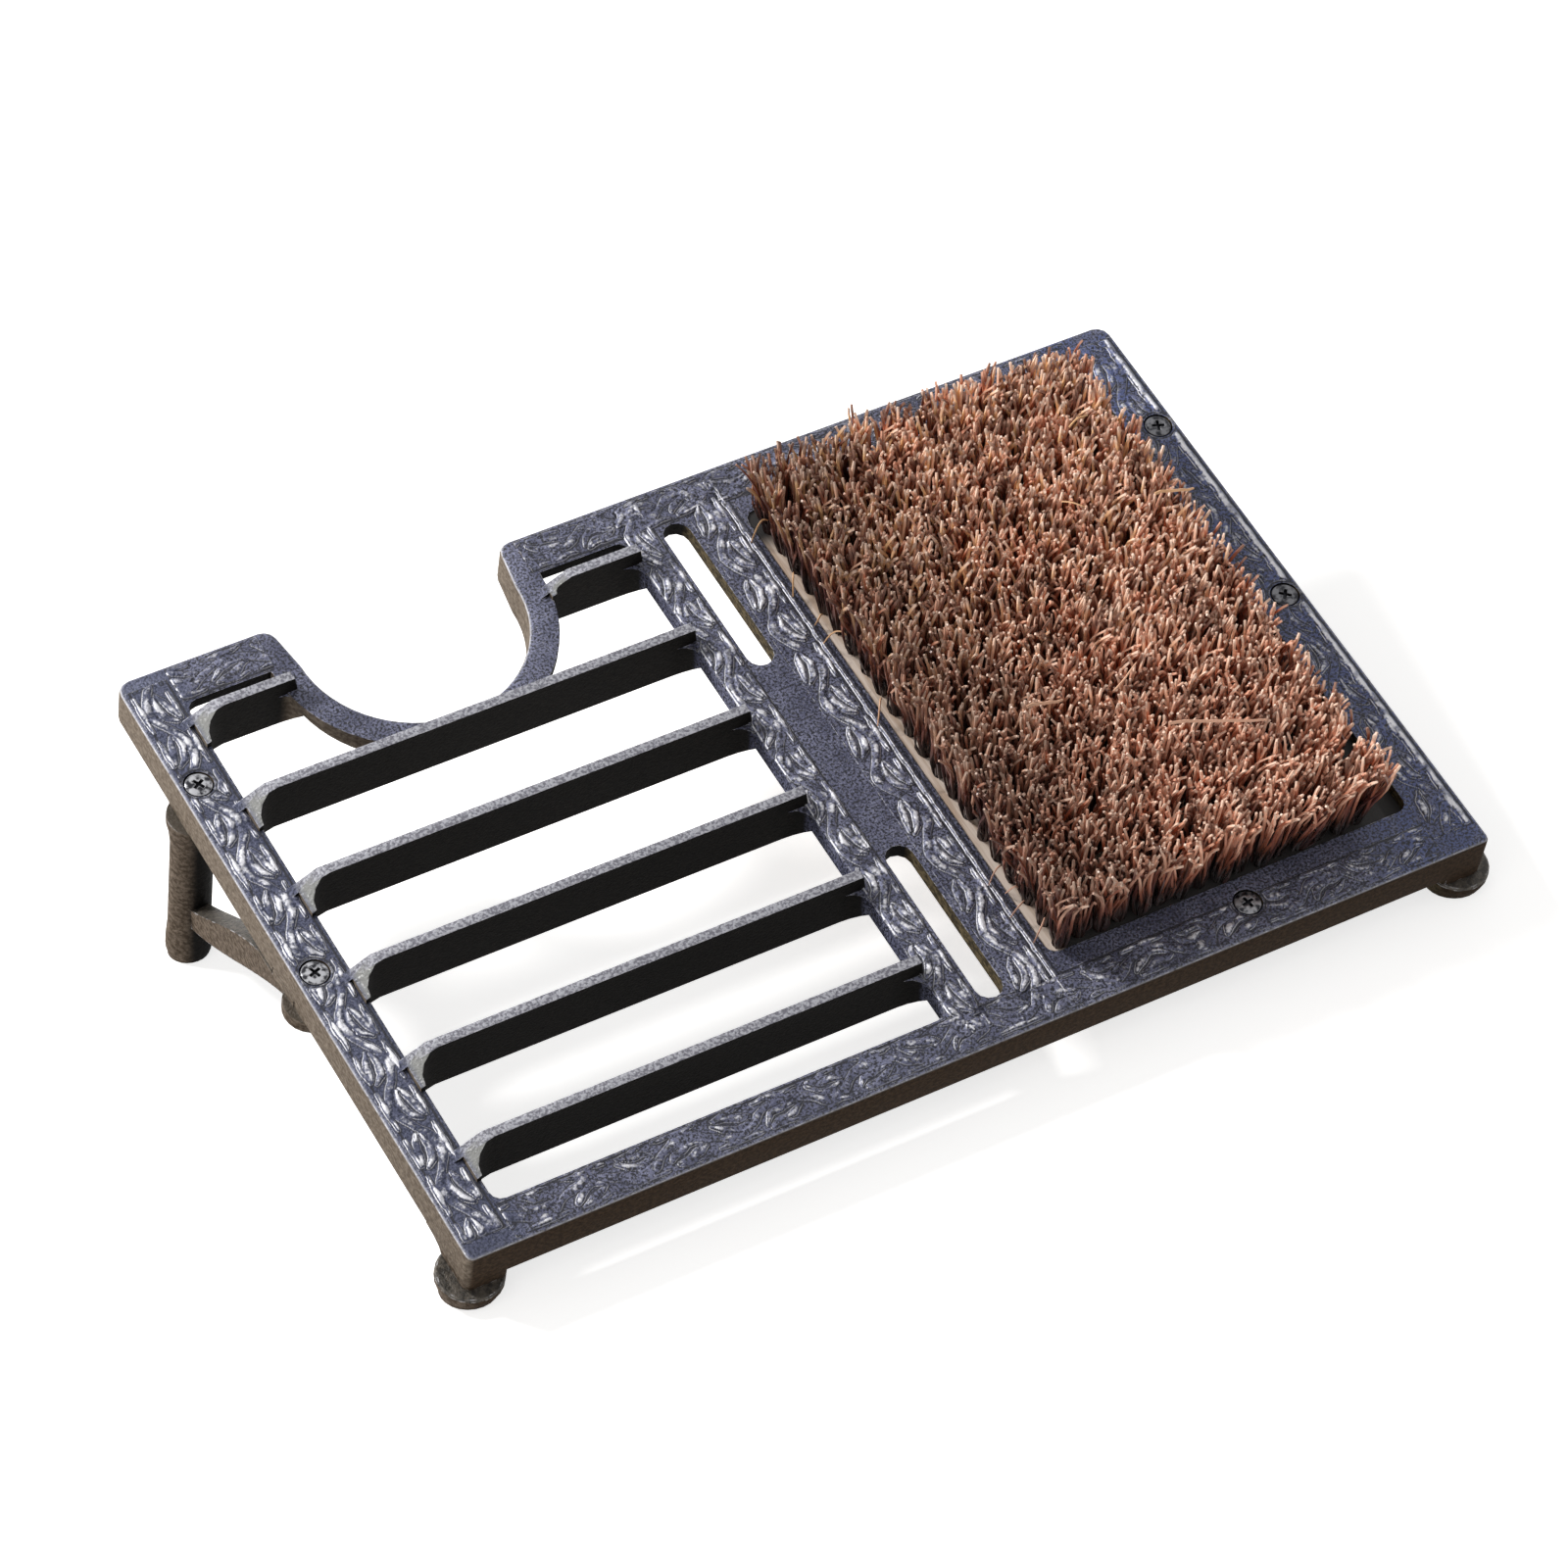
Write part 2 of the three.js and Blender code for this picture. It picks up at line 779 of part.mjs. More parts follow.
for (const [name, x, y] of legScrewPlaces) {
  const length = y === legY ? legScrewLength : rimHeight + padDrop - seatGap
  slope.add(placed(piece(name, crossScrew(length), steel), x, y, 0))
}

slope.add(piece('brush_stock', brushStock(), wood))
for (let i = 0; i < sliceCount; i++) {
  slope.add(piece('bristles_' + (i + 1), bristles(i), coir))
}

const washerTop = stockBottom - seatGap
const nutTop = washerTop - washerThickness - seatGap
for (const [end, x, y] of brushScrewPlaces) {
  const screw = crossScrew(-nutTop + nutThickness)
  slope.add(placed(piece('brush_screw_' + end, screw, steel), x, y, 0))
  const washer = collar(washerRadius, washerThickness, roundSides)
  slope.add(placed(piece('brush_washer_' + end, washer, steel), x, y, washerTop))
  const nut = collar(nutRadius, nutThickness, nutSides)
  slope.add(placed(piece('brush_nut_' + end, nut, steel), x, y, nutTop))
}

// The slope is tilted and stood on the floor with its middle over the origin
slope.rotation.x = tilt
const group = new THREE.Group()
group.add(slope)
const bounds = new THREE.Box3().setFromObject(group, true)
const middle = bounds.getCenter(new THREE.Vector3())
slope.position.set(-middle.x, -middle.y, -bounds.min.z)

export default group
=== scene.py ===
import math
import random

import bmesh
import bpy
import numpy as np
from mathutils import Matrix, Vector, noise


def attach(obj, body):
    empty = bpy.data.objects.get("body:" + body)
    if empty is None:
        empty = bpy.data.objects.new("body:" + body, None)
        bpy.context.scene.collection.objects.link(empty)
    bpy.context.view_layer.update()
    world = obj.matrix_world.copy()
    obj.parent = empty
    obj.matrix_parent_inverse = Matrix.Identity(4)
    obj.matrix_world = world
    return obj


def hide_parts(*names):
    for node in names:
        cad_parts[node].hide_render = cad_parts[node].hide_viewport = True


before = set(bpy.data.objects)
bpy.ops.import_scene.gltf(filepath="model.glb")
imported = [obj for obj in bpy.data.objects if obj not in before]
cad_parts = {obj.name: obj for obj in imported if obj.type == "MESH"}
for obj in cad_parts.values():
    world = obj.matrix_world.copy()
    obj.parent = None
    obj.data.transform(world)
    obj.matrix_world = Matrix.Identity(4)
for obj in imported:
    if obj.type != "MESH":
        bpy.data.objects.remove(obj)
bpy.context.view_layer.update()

random.seed(11)
mm = 0.001

# The plate slopes up to the rear. Everything on it is built flat, in millimetres from its
# front left corner with the top face at height 0, and is then turned into place.
plate = {
    "tilt": math.radians(15),
    "corner": Vector((-185.0, -117.76166, 23.72153)),
}
plateToWorld = (
    Matrix.Scale(mm, 4)
    @ Matrix.Translation(plate["corner"])
    @ Matrix.Rotation(plate["tilt"], 4, "X")
)
worldToPlate = plateToWorld.inverted()


# Materials

def hexColour(code):
    # sRGB hex to the linear colour that the nodes hold
    parts = [int(code[i:i + 2], 16) / 255 for i in (1, 3, 5)]
    linear = [p / 12.92 if p <= 0.04045 else ((p + 0.055) / 1.055) ** 2.4 for p in parts]
    return (*linear, 1.0)


def addNode(tree, kind, inputs=None, **settings):
    # an input is a plain value, or the socket that it is linked from
    node = tree.nodes.new("ShaderNode" + kind)
    for name, value in settings.items():
        setattr(node, name, value)
    for name, value in (inputs or {}).items():
        if isinstance(value, bpy.types.NodeSocket):
            tree.links.new(value, node.inputs[name])
        else:
            node.inputs[name].default_value = value
    return node


def newMaterial(name):
    material = bpy.data.materials.new(name)
    material.use_nodes = True
    tree = material.node_tree
    tree.nodes.clear()
    return material, tree


def plateCoordinates(tree):
    # object coordinates turned flat with the plate, in millimetres
    coords = addNode(tree, "TexCoord")
    return addNode(tree, "Mapping", {
        "Vector": coords.outputs["Object"],
        "Location": plate["corner"] * mm,
        "Rotation": (plate["tilt"], 0, 0),
        "Scale": (mm, mm, mm),
    }, vector_type="TEXTURE").outputs["Vector"]


def plateNormal(tree):
    normal = addNode(tree, "NewGeometry").outputs["Normal"]
    turned = addNode(tree, "VectorRotate", {"Vector": normal, "Angle": -plate["tilt"]},
                     rotation_type="X_AXIS")
    return addNode(tree, "SeparateXYZ", {"Vector": turned.outputs["Vector"]})


def patches(tree, where, size, detail, low, high, roughness=0.55):
    # 0 to 1 patches of a noise whose grains are about size millimetres across
    grain = addNode(tree, "TexNoise", {"Vector": where, "Scale": 1 / size, "Detail": detail,
                                       "Roughness": roughness})
    return ramp(tree, grain.outputs["Fac"], low, high)


def ramp(tree, value, low, high):
    # 0 at low, 1 at high and smooth between, also where low is the larger
    node = addNode(tree, "MapRange", {"Value": value, "From Min": low, "From Max": high},
                   interpolation_type="SMOOTHSTEP")
    return node.outputs["Result"]


def blend(tree, factor, first, second):
    # a side is a hex colour, or the socket that it is linked from; 6, 7 and 2 are the colour sockets
    node = addNode(tree, "Mix", {"Factor": factor}, data_type="RGBA")
    for socket, value in ((node.inputs[6], first), (node.inputs[7], second)):
        if isinstance(value, bpy.types.NodeSocket):
            tree.links.new(value, socket)
        else:
            socket.default_value = hexColour(value)
    return node.outputs[2]


def times(tree, first, second, operation="MULTIPLY"):
    # a product, or another operation of two values, kept within 0 and 1
    node = addNode(tree, "Math", operation=operation, use_clamp=True)
    for socket, value in zip(node.inputs, (first, second)):
        if isinstance(value, bpy.types.NodeSocket):
            tree.links.new(value, socket)
        else:
            socket.default_value = value
    return node.outputs[0]


def bevelled(tree, radius):
    # a normal rounded over sharp edges, and how far it leaves the flat one, 1 where it doesn't
    bevel = addNode(tree, "Bevel", {"Radius": radius * mm}, samples=4).outputs["Normal"]
    flat = addNode(tree, "NewGeometry").outputs["Normal"]
    bend = addNode(tree, "VectorMath", {0: bevel, 1: flat}, operation="DOT_PRODUCT").outputs["Value"]
    return bevel, bend


# Most colours come in pairs, a tone and the lighter one that mottles it. Sizes are in millimetres.
# The zones are positions on the plate where one look gives way to the next.
castIron = {
    "lacquer": "#565870", "bloom": "#75778f", "brushShadeBlue": "#57618c", "leftShadeBlue": "#2f3650",
    "pitAndGrooveShade": "#1e1e27", "fleck": "#a2a2af", "bare": "#eae9ee",
    "blade": "#6a6972", "bladeFleck": "#aaaab1", "ramp": "#6f6f6c", "rampFleck": "#aeaeac",
    "side": "#60554a", "sideLight": "#83776a", "shade": "#0c0b0a", "shadeLight": "#171513",
    "rim": "#2f251c", "rimLight": "#46382c", "rear": "#2f2923", "rearLight": "#4e463c",
    "leg": "#463b30", "legLight": "#73665a", "flange": "#2e2a25", "flangeLight": "#5b544b",
    "slot": "#332c20", "slotLight": "#6a5d45", "under": "#4a4136",
    "grain": 0.95, "cloud": 12.0, "streak": 1.3, "wear": 5.0, "bevel": 0.5, "bump": 0.5,
    "roughness": 0.46, "bareRoughness": 0.38, "sideRoughness": 0.75,
    "metal": 0.25, "gloss": 0.5, "sideGloss": 0.08,
    "leftBorder": (24.0, 18.0), "divider": (156.0, 164.0), "slots": (182.0, 184.0),
    "besideBrush": (318.0, 348.0), "frontRim": (4.0, 1.5), "paleRear": (300.0, 200.0),
    "bladeTops": (1.2, 3.0), "lowFaces": (-2.5, -3.5), "feetAndLegs": (-14.0, -16.0),
}


def ironMaterial():
    # Grey cast iron, sand cast and dipped in dark blue-black lacquer. The skin is pebbled by
    # the sand, the lacquer is rubbed off the raised parts, whose crests are also painted near-white
    # as painted highlight, and dust browns the upright faces, which also carry painted light and shade.
    c = castIron
    material, tree = newMaterial("Lacquered cast iron")
    where = plateCoordinates(tree)
    facing = plateNormal(tree)
    up = facing.outputs["Z"]
    place = addNode(tree, "SeparateXYZ", {"Vector": where})
    across, depth, height = (place.outputs[axis] for axis in "XYZ")

    # the upper face: lacquer with a grey bloom in clouds, painted blue shade beside the brush where
    # the brush shades it, with sand pits and bright flecks
    grain = patches(tree, where, c["grain"], 3, 0.40, 0.60)
    flecks = patches(tree, where, c["grain"] * 1.3, 4, 0.57, 0.67, 0.65)
    clouds = patches(tree, where, c["cloud"], 3, 0.35, 0.65)
    pits = patches(tree, where, c["grain"] * 0.9, 3, 0.42, 0.56)
    top = blend(tree, clouds, c["lacquer"], c["bloom"])
    # painted shade: the plate beside the brush is painted bluer, as the brush's shadow
    brushShade = times(tree, ramp(tree, across, *c["besideBrush"]), patches(tree, where, 9.0, 3, 0.30, 0.55))
    top = blend(tree, brushShade, top, c["brushShadeBlue"])
    top = blend(tree, pits, c["pitAndGrooveShade"], top)
    top = blend(tree, times(tree, flecks, 0.4), top, c["fleck"])

    # the left border is painted darker and bluer, as painted shade
    top = blend(tree, times(tree, ramp(tree, across, *c["leftBorder"]), 0.5), top, c["leftShadeBlue"])

    # blade tops are scraped to a speckled grey, and their ramps are dull with bright grit
    onBlade = ramp(tree, height, *c["bladeTops"])
    blade = blend(tree, grain, c["blade"], c["bladeFleck"])
    landing = blend(tree, flecks, c["ramp"], c["rampFleck"])
    slanted = ramp(tree, up, 0.97, 0.90)
    blade = blend(tree, slanted, blade, landing)
    top = blend(tree, onBlade, top, blade)

    # upright faces: brown to the left, as dust and as painted warm bounce light; painted shade
    # near-black to the front and dark brown on the front rim; dark brown to the rear; lacquered on the
    # divider's wall, rusty in the slots
    streak = addNode(tree, "Mapping", {"Vector": where, "Scale": (0.8, 0.6, 1.0)}).outputs["Vector"]
    mottle = patches(tree, streak, c["streak"], 5, 0.38, 0.64, 0.65)
    dustyAndLit = blend(tree, mottle, c["side"], c["sideLight"])
    legs = blend(tree, mottle, c["leg"], c["legLight"])
    lowDown = ramp(tree, height, *c["feetAndLegs"])
    dustyAndLit = blend(tree, lowDown, dustyAndLit, legs)
    rusty = blend(tree, mottle, c["slot"], c["slotLight"])
    within = blend(tree, ramp(tree, across, *c["slots"]), top, rusty)
    inside = ramp(tree, across, *c["divider"])
    dustyAndLit = blend(tree, inside, dustyAndLit, within)
    # painted shade: faces to the front are near-black, the front rim dark brown
    black = blend(tree, mottle, c["shade"], c["shadeLight"])
    rim = blend(tree, mottle, c["rim"], c["rimLight"])
    black = blend(tree, ramp(tree, depth, *c["frontRim"]), black, rim)
    leftward = addNode(tree, "Mix", {
        "Factor": inside, "A": ramp(tree, facing.outputs["X"], -0.15, -0.75),
        "B": ramp(tree, facing.outputs["X"], -0.75, -0.97),
    }).outputs["Result"]
    behind = blend(tree, mottle, c["rear"], c["rearLight"])
    black = blend(tree, ramp(tree, facing.outputs["Y"], 0.3, 0.6), black, behind)
    # faces to the left take the lighter browns, as dust and as painted warm bounce light
    side = blend(tree, leftward, black, dustyAndLit)
    # the foot flanges are painted dark, as painted shade under the plate's corners
    flange = blend(tree, mottle, c["flange"], c["flangeLight"])
    under = blend(tree, lowDown, c["under"], flange)
    top = blend(tree, ramp(tree, height, *c["lowFaces"]), top, under)
    upward = ramp(tree, up, 0.3, 0.6)
    colour = blend(tree, upward, side, top)

    # raised ornament carries its height in an attribute, negative in its grooves, which are not cut
    # but painted dark as shade
    relief = addNode(tree, "Attribute", attribute_name="relief").outputs["Fac"]
    rough = addNode(tree, "TexNoise", {"Vector": where, "Scale": 0.9, "Detail": 4.0}).outputs["Fac"]
    # the crests are painted near-white, partly as lacquer rubbed through and partly as painted highlight
    wornAndLitCrest = addNode(tree, "Math", {0: rough, 1: 0.9, 2: relief}, operation="MULTIPLY_ADD").outputs[0]
    rubbed = times(tree, ramp(tree, wornAndLitCrest, 0.94, 1.30), patches(tree, where, c["wear"], 4, 0.28, 0.52))
    rubbed = times(tree, rubbed, ramp(tree, depth, *c["paleRear"]))
    # painted shade: the grooves go near-black
    colour = blend(tree, ramp(tree, relief, -0.10, -0.80), colour, c["pitAndGrooveShade"])

    # lacquer worn through along the rounded outer edges, most of all at the two sides
    edge = times(tree, ramp(tree, up, 0.985, 0.86), ramp(tree, up, 0.25, 0.5))
    edge = times(tree, edge, ramp(tree, height, -1.8, -1.1))
    edge = times(tree, edge, ramp(tree, height, 0.3, 0.1))
    sideways = addNode(tree, "Math", {0: facing.outputs["X"]}, operation="ABSOLUTE").outputs[0]
    edge = times(tree, edge, ramp(tree, sideways, -0.35, 0.35))
    edge = times(tree, edge, patches(tree, where, 4.0, 4, 0.30, 0.42))

    # and finely along the sharp ones, of the plate and of the legs
    bevel, bend = bevelled(tree, c["bevel"])
    sharp = times(tree, ramp(tree, bend, 0.99, 0.90), ramp(tree, up, 0.2, 0.6))
    sharp = times(tree, sharp, patches(tree, where, 2.5, 3, 0.45, 0.6))
    sharp = times(tree, sharp, ramp(tree, height, -2.0, -0.5))
    knocked = times(tree, ramp(tree, bend, 0.99, 0.92), ramp(tree, height, -14.2, -15.0))
    knocked = times(tree, knocked, patches(tree, where, 3.0, 4, 0.48, 0.60))
    sharp = times(tree, sharp, knocked, "ADD")
    # bare metal on worn edges and crests, the crests also as painted highlight
    bare = times(tree, times(tree, edge, rubbed, "ADD"), times(tree, sharp, 0.7), "ADD")
    colour = blend(tree, bare, colour, c["bare"])

    upright = times(tree, 1.0, upward, "SUBTRACT")
    roughness = addNode(tree, "Mix", {"Factor": bare, "A": c["roughness"], "B": c["bareRoughness"]})
    roughness = addNode(tree, "Mix", {"Factor": upright, "A": roughness.outputs["Result"],
                                      "B": c["sideRoughness"]})
    gloss = addNode(tree, "Mix", {"Factor": upright, "A": c["gloss"], "B": c["sideGloss"]})
    metal = addNode(tree, "Mix", {"Factor": upright, "A": c["metal"], "B": 0.0})
    bumps = addNode(tree, "TexNoise", {"Vector": where, "Scale": 1 / c["grain"], "Detail": 4.0,
                                       "Roughness": 0.6})
    bump = addNode(tree, "Bump", {"Height": bumps.outputs["Fac"], "Strength": 0.9,
                                  "Distance": c["bump"] * mm, "Normal": bevel})
    surface = addNode(tree, "BsdfPrincipled", {
        "Base Color": colour, "Roughness": roughness.outputs["Result"],
        "Metallic": metal.outputs["Result"], "Specular IOR Level": gloss.outputs["Result"],
        "Normal": bump.outputs["Normal"],
    })
    addNode(tree, "OutputMaterial", {"Surface": surface.outputs["BSDF"]})
    return material


screwSteel = {
    "dark": "#26262b", "bare": "#b9b9bd", "grain": 0.7, "bevel": 0.45, "roughness": 0.35, "metal": 0.7,
    "screwShadeToRight": (560.0, 60.0),
}


def steelMaterial():
    # Blackened steel: the oxide is left in the recesses and rubbed bright on the rims.
    c = screwSteel
    material, tree = newMaterial("Blackened steel")
    where = plateCoordinates(tree)
    bevel, bend = bevelled(tree, c["bevel"])
    up = plateNormal(tree).outputs["Z"]
    place = addNode(tree, "SeparateXYZ", {"Vector": where})
    height = place.outputs["Z"]
    rubbed = times(tree, patches(tree, where, 2.5, 4, 0.40, 0.58), ramp(tree, up, 0.3, 0.8))
    rubbed = times(tree, rubbed, ramp(tree, height, -0.5, -0.05))
    rims = times(tree, ramp(tree, bend, 0.99, 0.9), ramp(tree, height, -0.8, -0.3))
    bare = times(tree, rims, rubbed, "ADD")
    # the further to the right, the darker the heads, as painted shade
    kept = ramp(tree, place.outputs["X"], *c["screwShadeToRight"])
    colour = blend(tree, times(tree, bare, kept), c["dark"], c["bare"])
    grain = addNode(tree, "TexNoise", {"Vector": where, "Scale": 1 / c["grain"], "Detail": 3.0})
    bump = addNode(tree, "Bump", {"Height": grain.outputs["Fac"], "Strength": 0.5,
                                  "Distance": 0.1 * mm, "Normal": bevel})
    surface = addNode(tree, "BsdfPrincipled", {
        "Base Color": colour, "Roughness": c["roughness"], "Metallic": c["metal"],
        "Normal": bump.outputs["Normal"],
    })
    addNode(tree, "OutputMaterial", {"Surface": surface.outputs["BSDF"]})
    return material


stockWood = {
    "pale": "#d9c9bb", "grainTone": "#b7a08c", "dirt": "#6f5d4f", "paintedShade": "#110d0b",
    "ring": 1.6, "roughness": 0.75,
    "shadeFront": (42.0, 32.0), "shadeInside": (220.0, 224.0), "shadeRight": (332.0, 337.0),
    "shadeRear": (198.0, 208.0),
}


def woodMaterial():
    # Plain sawn beech, unfinished: pale, matt, with fine grain along the block, and black round its
    # edges except at the left, as painted shade of the fibres and the plate.
    c = stockWood
    material, tree = newMaterial("Sawn beech")
    where = plateCoordinates(tree)
    drawn = addNode(tree, "Mapping", {"Vector": where, "Scale": (1.0, 0.06, 1.0)}).outputs["Vector"]
    rings = patches(tree, drawn, c["ring"], 5, 0.38, 0.66)
    colour = blend(tree, rings, c["pale"], c["grainTone"])
    dirt = patches(tree, where, 5.0, 4, 0.58, 0.72)
    colour = blend(tree, times(tree, dirt, 0.5), colour, c["dirt"])
    place = addNode(tree, "SeparateXYZ", {"Vector": where})
    across, depth = place.outputs["X"], place.outputs["Y"]
    # painted shade: the bed goes black towards its front, right and rear edges
    paintedShade = times(tree, ramp(tree, depth, *c["shadeFront"]), ramp(tree, across, *c["shadeInside"]))
    paintedShade = times(tree, paintedShade, ramp(tree, across, *c["shadeRight"]), "ADD")
    paintedShade = times(tree, paintedShade, ramp(tree, depth, *c["shadeRear"]), "ADD")
    colour = blend(tree, paintedShade, colour, c["paintedShade"])
    fibres = addNode(tree, "TexNoise", {"Vector": drawn, "Scale": 2.5, "Detail": 4.0})
    bump = addNode(tree, "Bump", {"Height": fibres.outputs["Fac"], "Strength": 0.4,
                                  "Distance": 0.2 * mm})
    surface = addNode(tree, "BsdfPrincipled", {
        "Base Color": colour, "Roughness": c["roughness"], "Normal": bump.outputs["Normal"],
    })
    addNode(tree, "OutputMaterial", {"Surface": surface.outputs["BSDF"]})
    return material


coirFibre = {
    "root": "#150906", "shaft": "#b4694c", "shaftRed": "#6e2a1f", "upper": "#ffc8aa",
    "upperRed": "#a9542f", "upperGold": "#ffcb90", "tip": "#ffdcc4", "tipDull": "#eaae90",
    "dark": "#3b1a12", "roughness": 0.42, "sheen": 0.1,
    "dirtSize": 12.0, "dirt": 0.65, "trodden": 0.45,
    "troddenSide": (275.0, 225.0), "sunnySide": (40.0, 210.0),
}


def coirMaterial():
    # Coir, the husk fibre of the coconut: hollow, waxy, red-brown, pale where it is cut, golden
    # where the sun has bleached it and dark in patches where boots have soiled it. Each strand is
    # painted dark towards its root as painted shade, and its upper part pale, partly as painted highlight.
    c = coirFibre
    material, tree = newMaterial("Coir fibre")
    along = addNode(tree, "Attribute", attribute_name="along").outputs["Fac"]
    strand = addNode(tree, "Attribute", attribute_name="strand").outputs["Fac"]
    where = plateCoordinates(tree)
    place = addNode(tree, "SeparateXYZ", {"Vector": where})
    across, depth = place.outputs["X"], place.outputs["Y"]
    shaft = blend(tree, ramp(tree, strand, 0.1, 0.7), c["shaftRed"], c["shaft"])
    bleached = times(tree, ramp(tree, strand, 0.5, 0.9), ramp(tree, depth, *c["sunnySide"]))
    upper = blend(tree, ramp(tree, strand, 0.28, 0.62), c["upperRed"], c["upper"])
    upper = blend(tree, bleached, upper, c["upperGold"])
    cut = blend(tree, ramp(tree, strand, 0.40, 0.60), c["tipDull"], c["tip"])
    # painted shade: dark towards the root; painted highlight: the pale upper part
    colour = blend(tree, ramp(tree, along, 0.15, 0.66), c["root"], shaft)
    colour = blend(tree, ramp(tree, along, 0.54, 0.78), colour, upper)
    colour = blend(tree, ramp(tree, along, 0.88, 0.98), colour, cut)
    flat = addNode(tree, "Mapping", {"Vector": where, "Scale": (1, 1, 0)}).outputs["Vector"]
    soiled = addNode(tree, "TexNoise", {"Vector": flat, "Scale": 1 / c["dirtSize"], "Detail": 4.0})
    soiled = addNode(tree, "Math", {0: strand, 1: 0.55, 2: soiled.outputs["Fac"]},
                     operation="MULTIPLY_ADD").outputs[0]
    colour = blend(tree, times(tree, ramp(tree, soiled, 0.72, 0.60), c["dirt"]), colour, c["dark"])
    trodden = times(tree, ramp(tree, across, *c["troddenSide"]), c["trodden"])
    colour = blend(tree, trodden, colour, c["dark"])
    surface = addNode(tree, "BsdfPrincipled", {
        "Base Color": colour, "Roughness": c["roughness"], "Sheen Weight": c["sheen"],
    })
    addNode(tree, "OutputMaterial", {"Surface": surface.outputs["BSDF"]})
    return material


ironFinish = ironMaterial()
steelFinish = steelMaterial()
woodFinish = woodMaterial()
coirFinish = coirMaterial()
print("materials made")


# Pieces

# edges that bend by more than this stay sharp
crease = {"casting": math.radians(32), "screw": math.radians(35), "wood": math.radians(30),
          "fine": math.radians(80)}


def keepPiece(bm, name, finish, smoothAngle, stands=()):
    # writes a bmesh that is in plate millimetres as a finished piece in the shared frame, which
    # stands in for the CAD nodes that it is given
    bmesh.ops.transform(bm, matrix=plateToWorld, verts=bm.verts)
    for face in bm.faces:
        face.smooth = True
    for edge in bm.edges:
        edge.smooth = edge.is_manifold and edge.calc_face_angle(0) < smoothAngle
    mesh = bpy.data.meshes.new(name)
    bm.to_mesh(mesh)
    bm.free()
    mesh.materials.append(finish)
    piece = bpy.data.objects.new(name, mesh)
    bpy.context.scene.collection.objects.link(piece)
    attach(piece, "root")
    if stands:
        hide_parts(*stands)


def joinedCopy(node):
    # a CAD node's triangles joined up, in plate millimetres
    bm = bmesh.new()
    bm.from_mesh(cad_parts[node].data)
    bmesh.ops.remove_doubles(bm, verts=bm.verts, dist=2e-6)
    bmesh.ops.transform(bm, matrix=worldToPlate, verts=bm.verts)
    return bm


for node, piece in (
    ("scraper_plate", "plateCasting"),
    ("leg_bracket_left", "legBracketLeft"),
    ("leg_bracket_right", "legBracketRight"),
    ("front_foot_left", "frontFootLeft"),
    ("front_foot_right", "frontFootRight"),
):
    keepPiece(joinedCopy(node), piece, ironFinish, crease["casting"], (node,))
print("castings smoothed")


# One period of the vine, in millimetres. A leaf is a path of (s, t) points with one radius each,
# drawn once in each bay from the bay's own middle.
vine = {
    "period": 33.3, "swing": 3.4, "stem": 1.25, "crestStem": 1.8, "stemHigh": 0.72, "stemSteps": 14,
    "leaves": (
        ([(-6.4, -3.6), (-3.8, -0.9), (0.6, 0.6), (5.4, -0.5)], [0.6, 1.25, 1.2, 0.5], 0.9),
        ([(-5.2, -4.7), (-1.2, -3.7), (3.2, -2.7), (6.2, -1.4)], [0.5, 1.3, 1.1, 0.4], 0.8),
    ),
    "bead": 5.5, "lensRadius": 1.15, "lensHalf": 7.6, "lensEnd": 0.3, "grooveShade": 0.7,
    "height": 1.0, "ground": 0.06, "cell": 0.42, "thickness": 0.7,
}


def ridge(s, t, path, radii, height):
    # height of a rounded ridge along a path of (s, t) points, one radius to each point, and
    # the strength of the painted shade line of the groove that runs round its foot
    raised, grooveShade = np.zeros(s.shape), np.zeros(s.shape)
    for (a, b), (ra, rb) in zip(zip(path, path[1:]), zip(radii, radii[1:])):
        ds, dt = b[0] - a[0], b[1] - a[1]
        k = np.clip(((s - a[0]) * ds + (t - a[1]) * dt) / (ds * ds + dt * dt), 0, 1)
        radius = ra + k * (rb - ra)
        distance = np.hypot(s - a[0] - k * ds, t - a[1] - k * dt)
        raised = np.maximum(raised, height * np.clip(1 - (distance / radius) ** 2, 0, 1) ** 0.5)
        grooveShade = np.maximum(grooveShade, np.clip(1.2 - np.abs(distance - radius) / vine["grooveShade"], 0, 1))
    return raised, grooveShade


def vineHeight(s, t, beads):
    # the vine's raised height and its grooves' painted shade: a wavy stem, a curled leaf of two ridges in
    # each bay, and
    # long beads that swell and thin along the edges, the shorter one on the leaf's side
    v = vine
    period = v["period"]
    s = np.mod(s, period)
    turns = [2 * math.pi * k / v["stemSteps"] for k in range(-2, v["stemSteps"] + 3)]
    ridges = [(
        s, t,
        [(period * a / math.tau, v["swing"] * math.cos(a)) for a in turns],
        [v["stem"] + (v["crestStem"] - v["stem"]) * math.cos(a) ** 2 for a in turns],
        v["stemHigh"],
    )]
    for centre, side in ((0.0, 1), (period / 2, -1), (period, 1)):
        p, q = s - centre, t * side
        ridges += [(p, q, *leaf) for leaf in v["leaves"]]
        for edge, share, end, high in ((1, 1.0, v["lensEnd"], 1.0), (-1, 0.75, 0.25, 0.85)):
            if side * edge in beads:
                half, line = v["lensHalf"] * share, v["bead"] * edge
                ridges.append((p, q, [(-half, line), (0, line), (half, line)],
                               [end, v["lensRadius"] * share, end], high))
    raised, grooveShade = np.zeros(s.shape), np.zeros(s.shape)
    for each in ridges:
        high, low = ridge(*each)
        raised = np.maximum(raised, high)
        grooveShade = np.maximum(grooveShade, low)
    return raised, grooveShade


def fade(x, low, high):
    # 0 up to low and 1 from high, smooth between
    k = np.clip((x - low) / (high - low), 0, 1)
    return k * k * (3 - 2 * k)


wobbleOffsets = [(random.uniform(0, 99), random.uniform(0, 99)) for _ in range(4)]


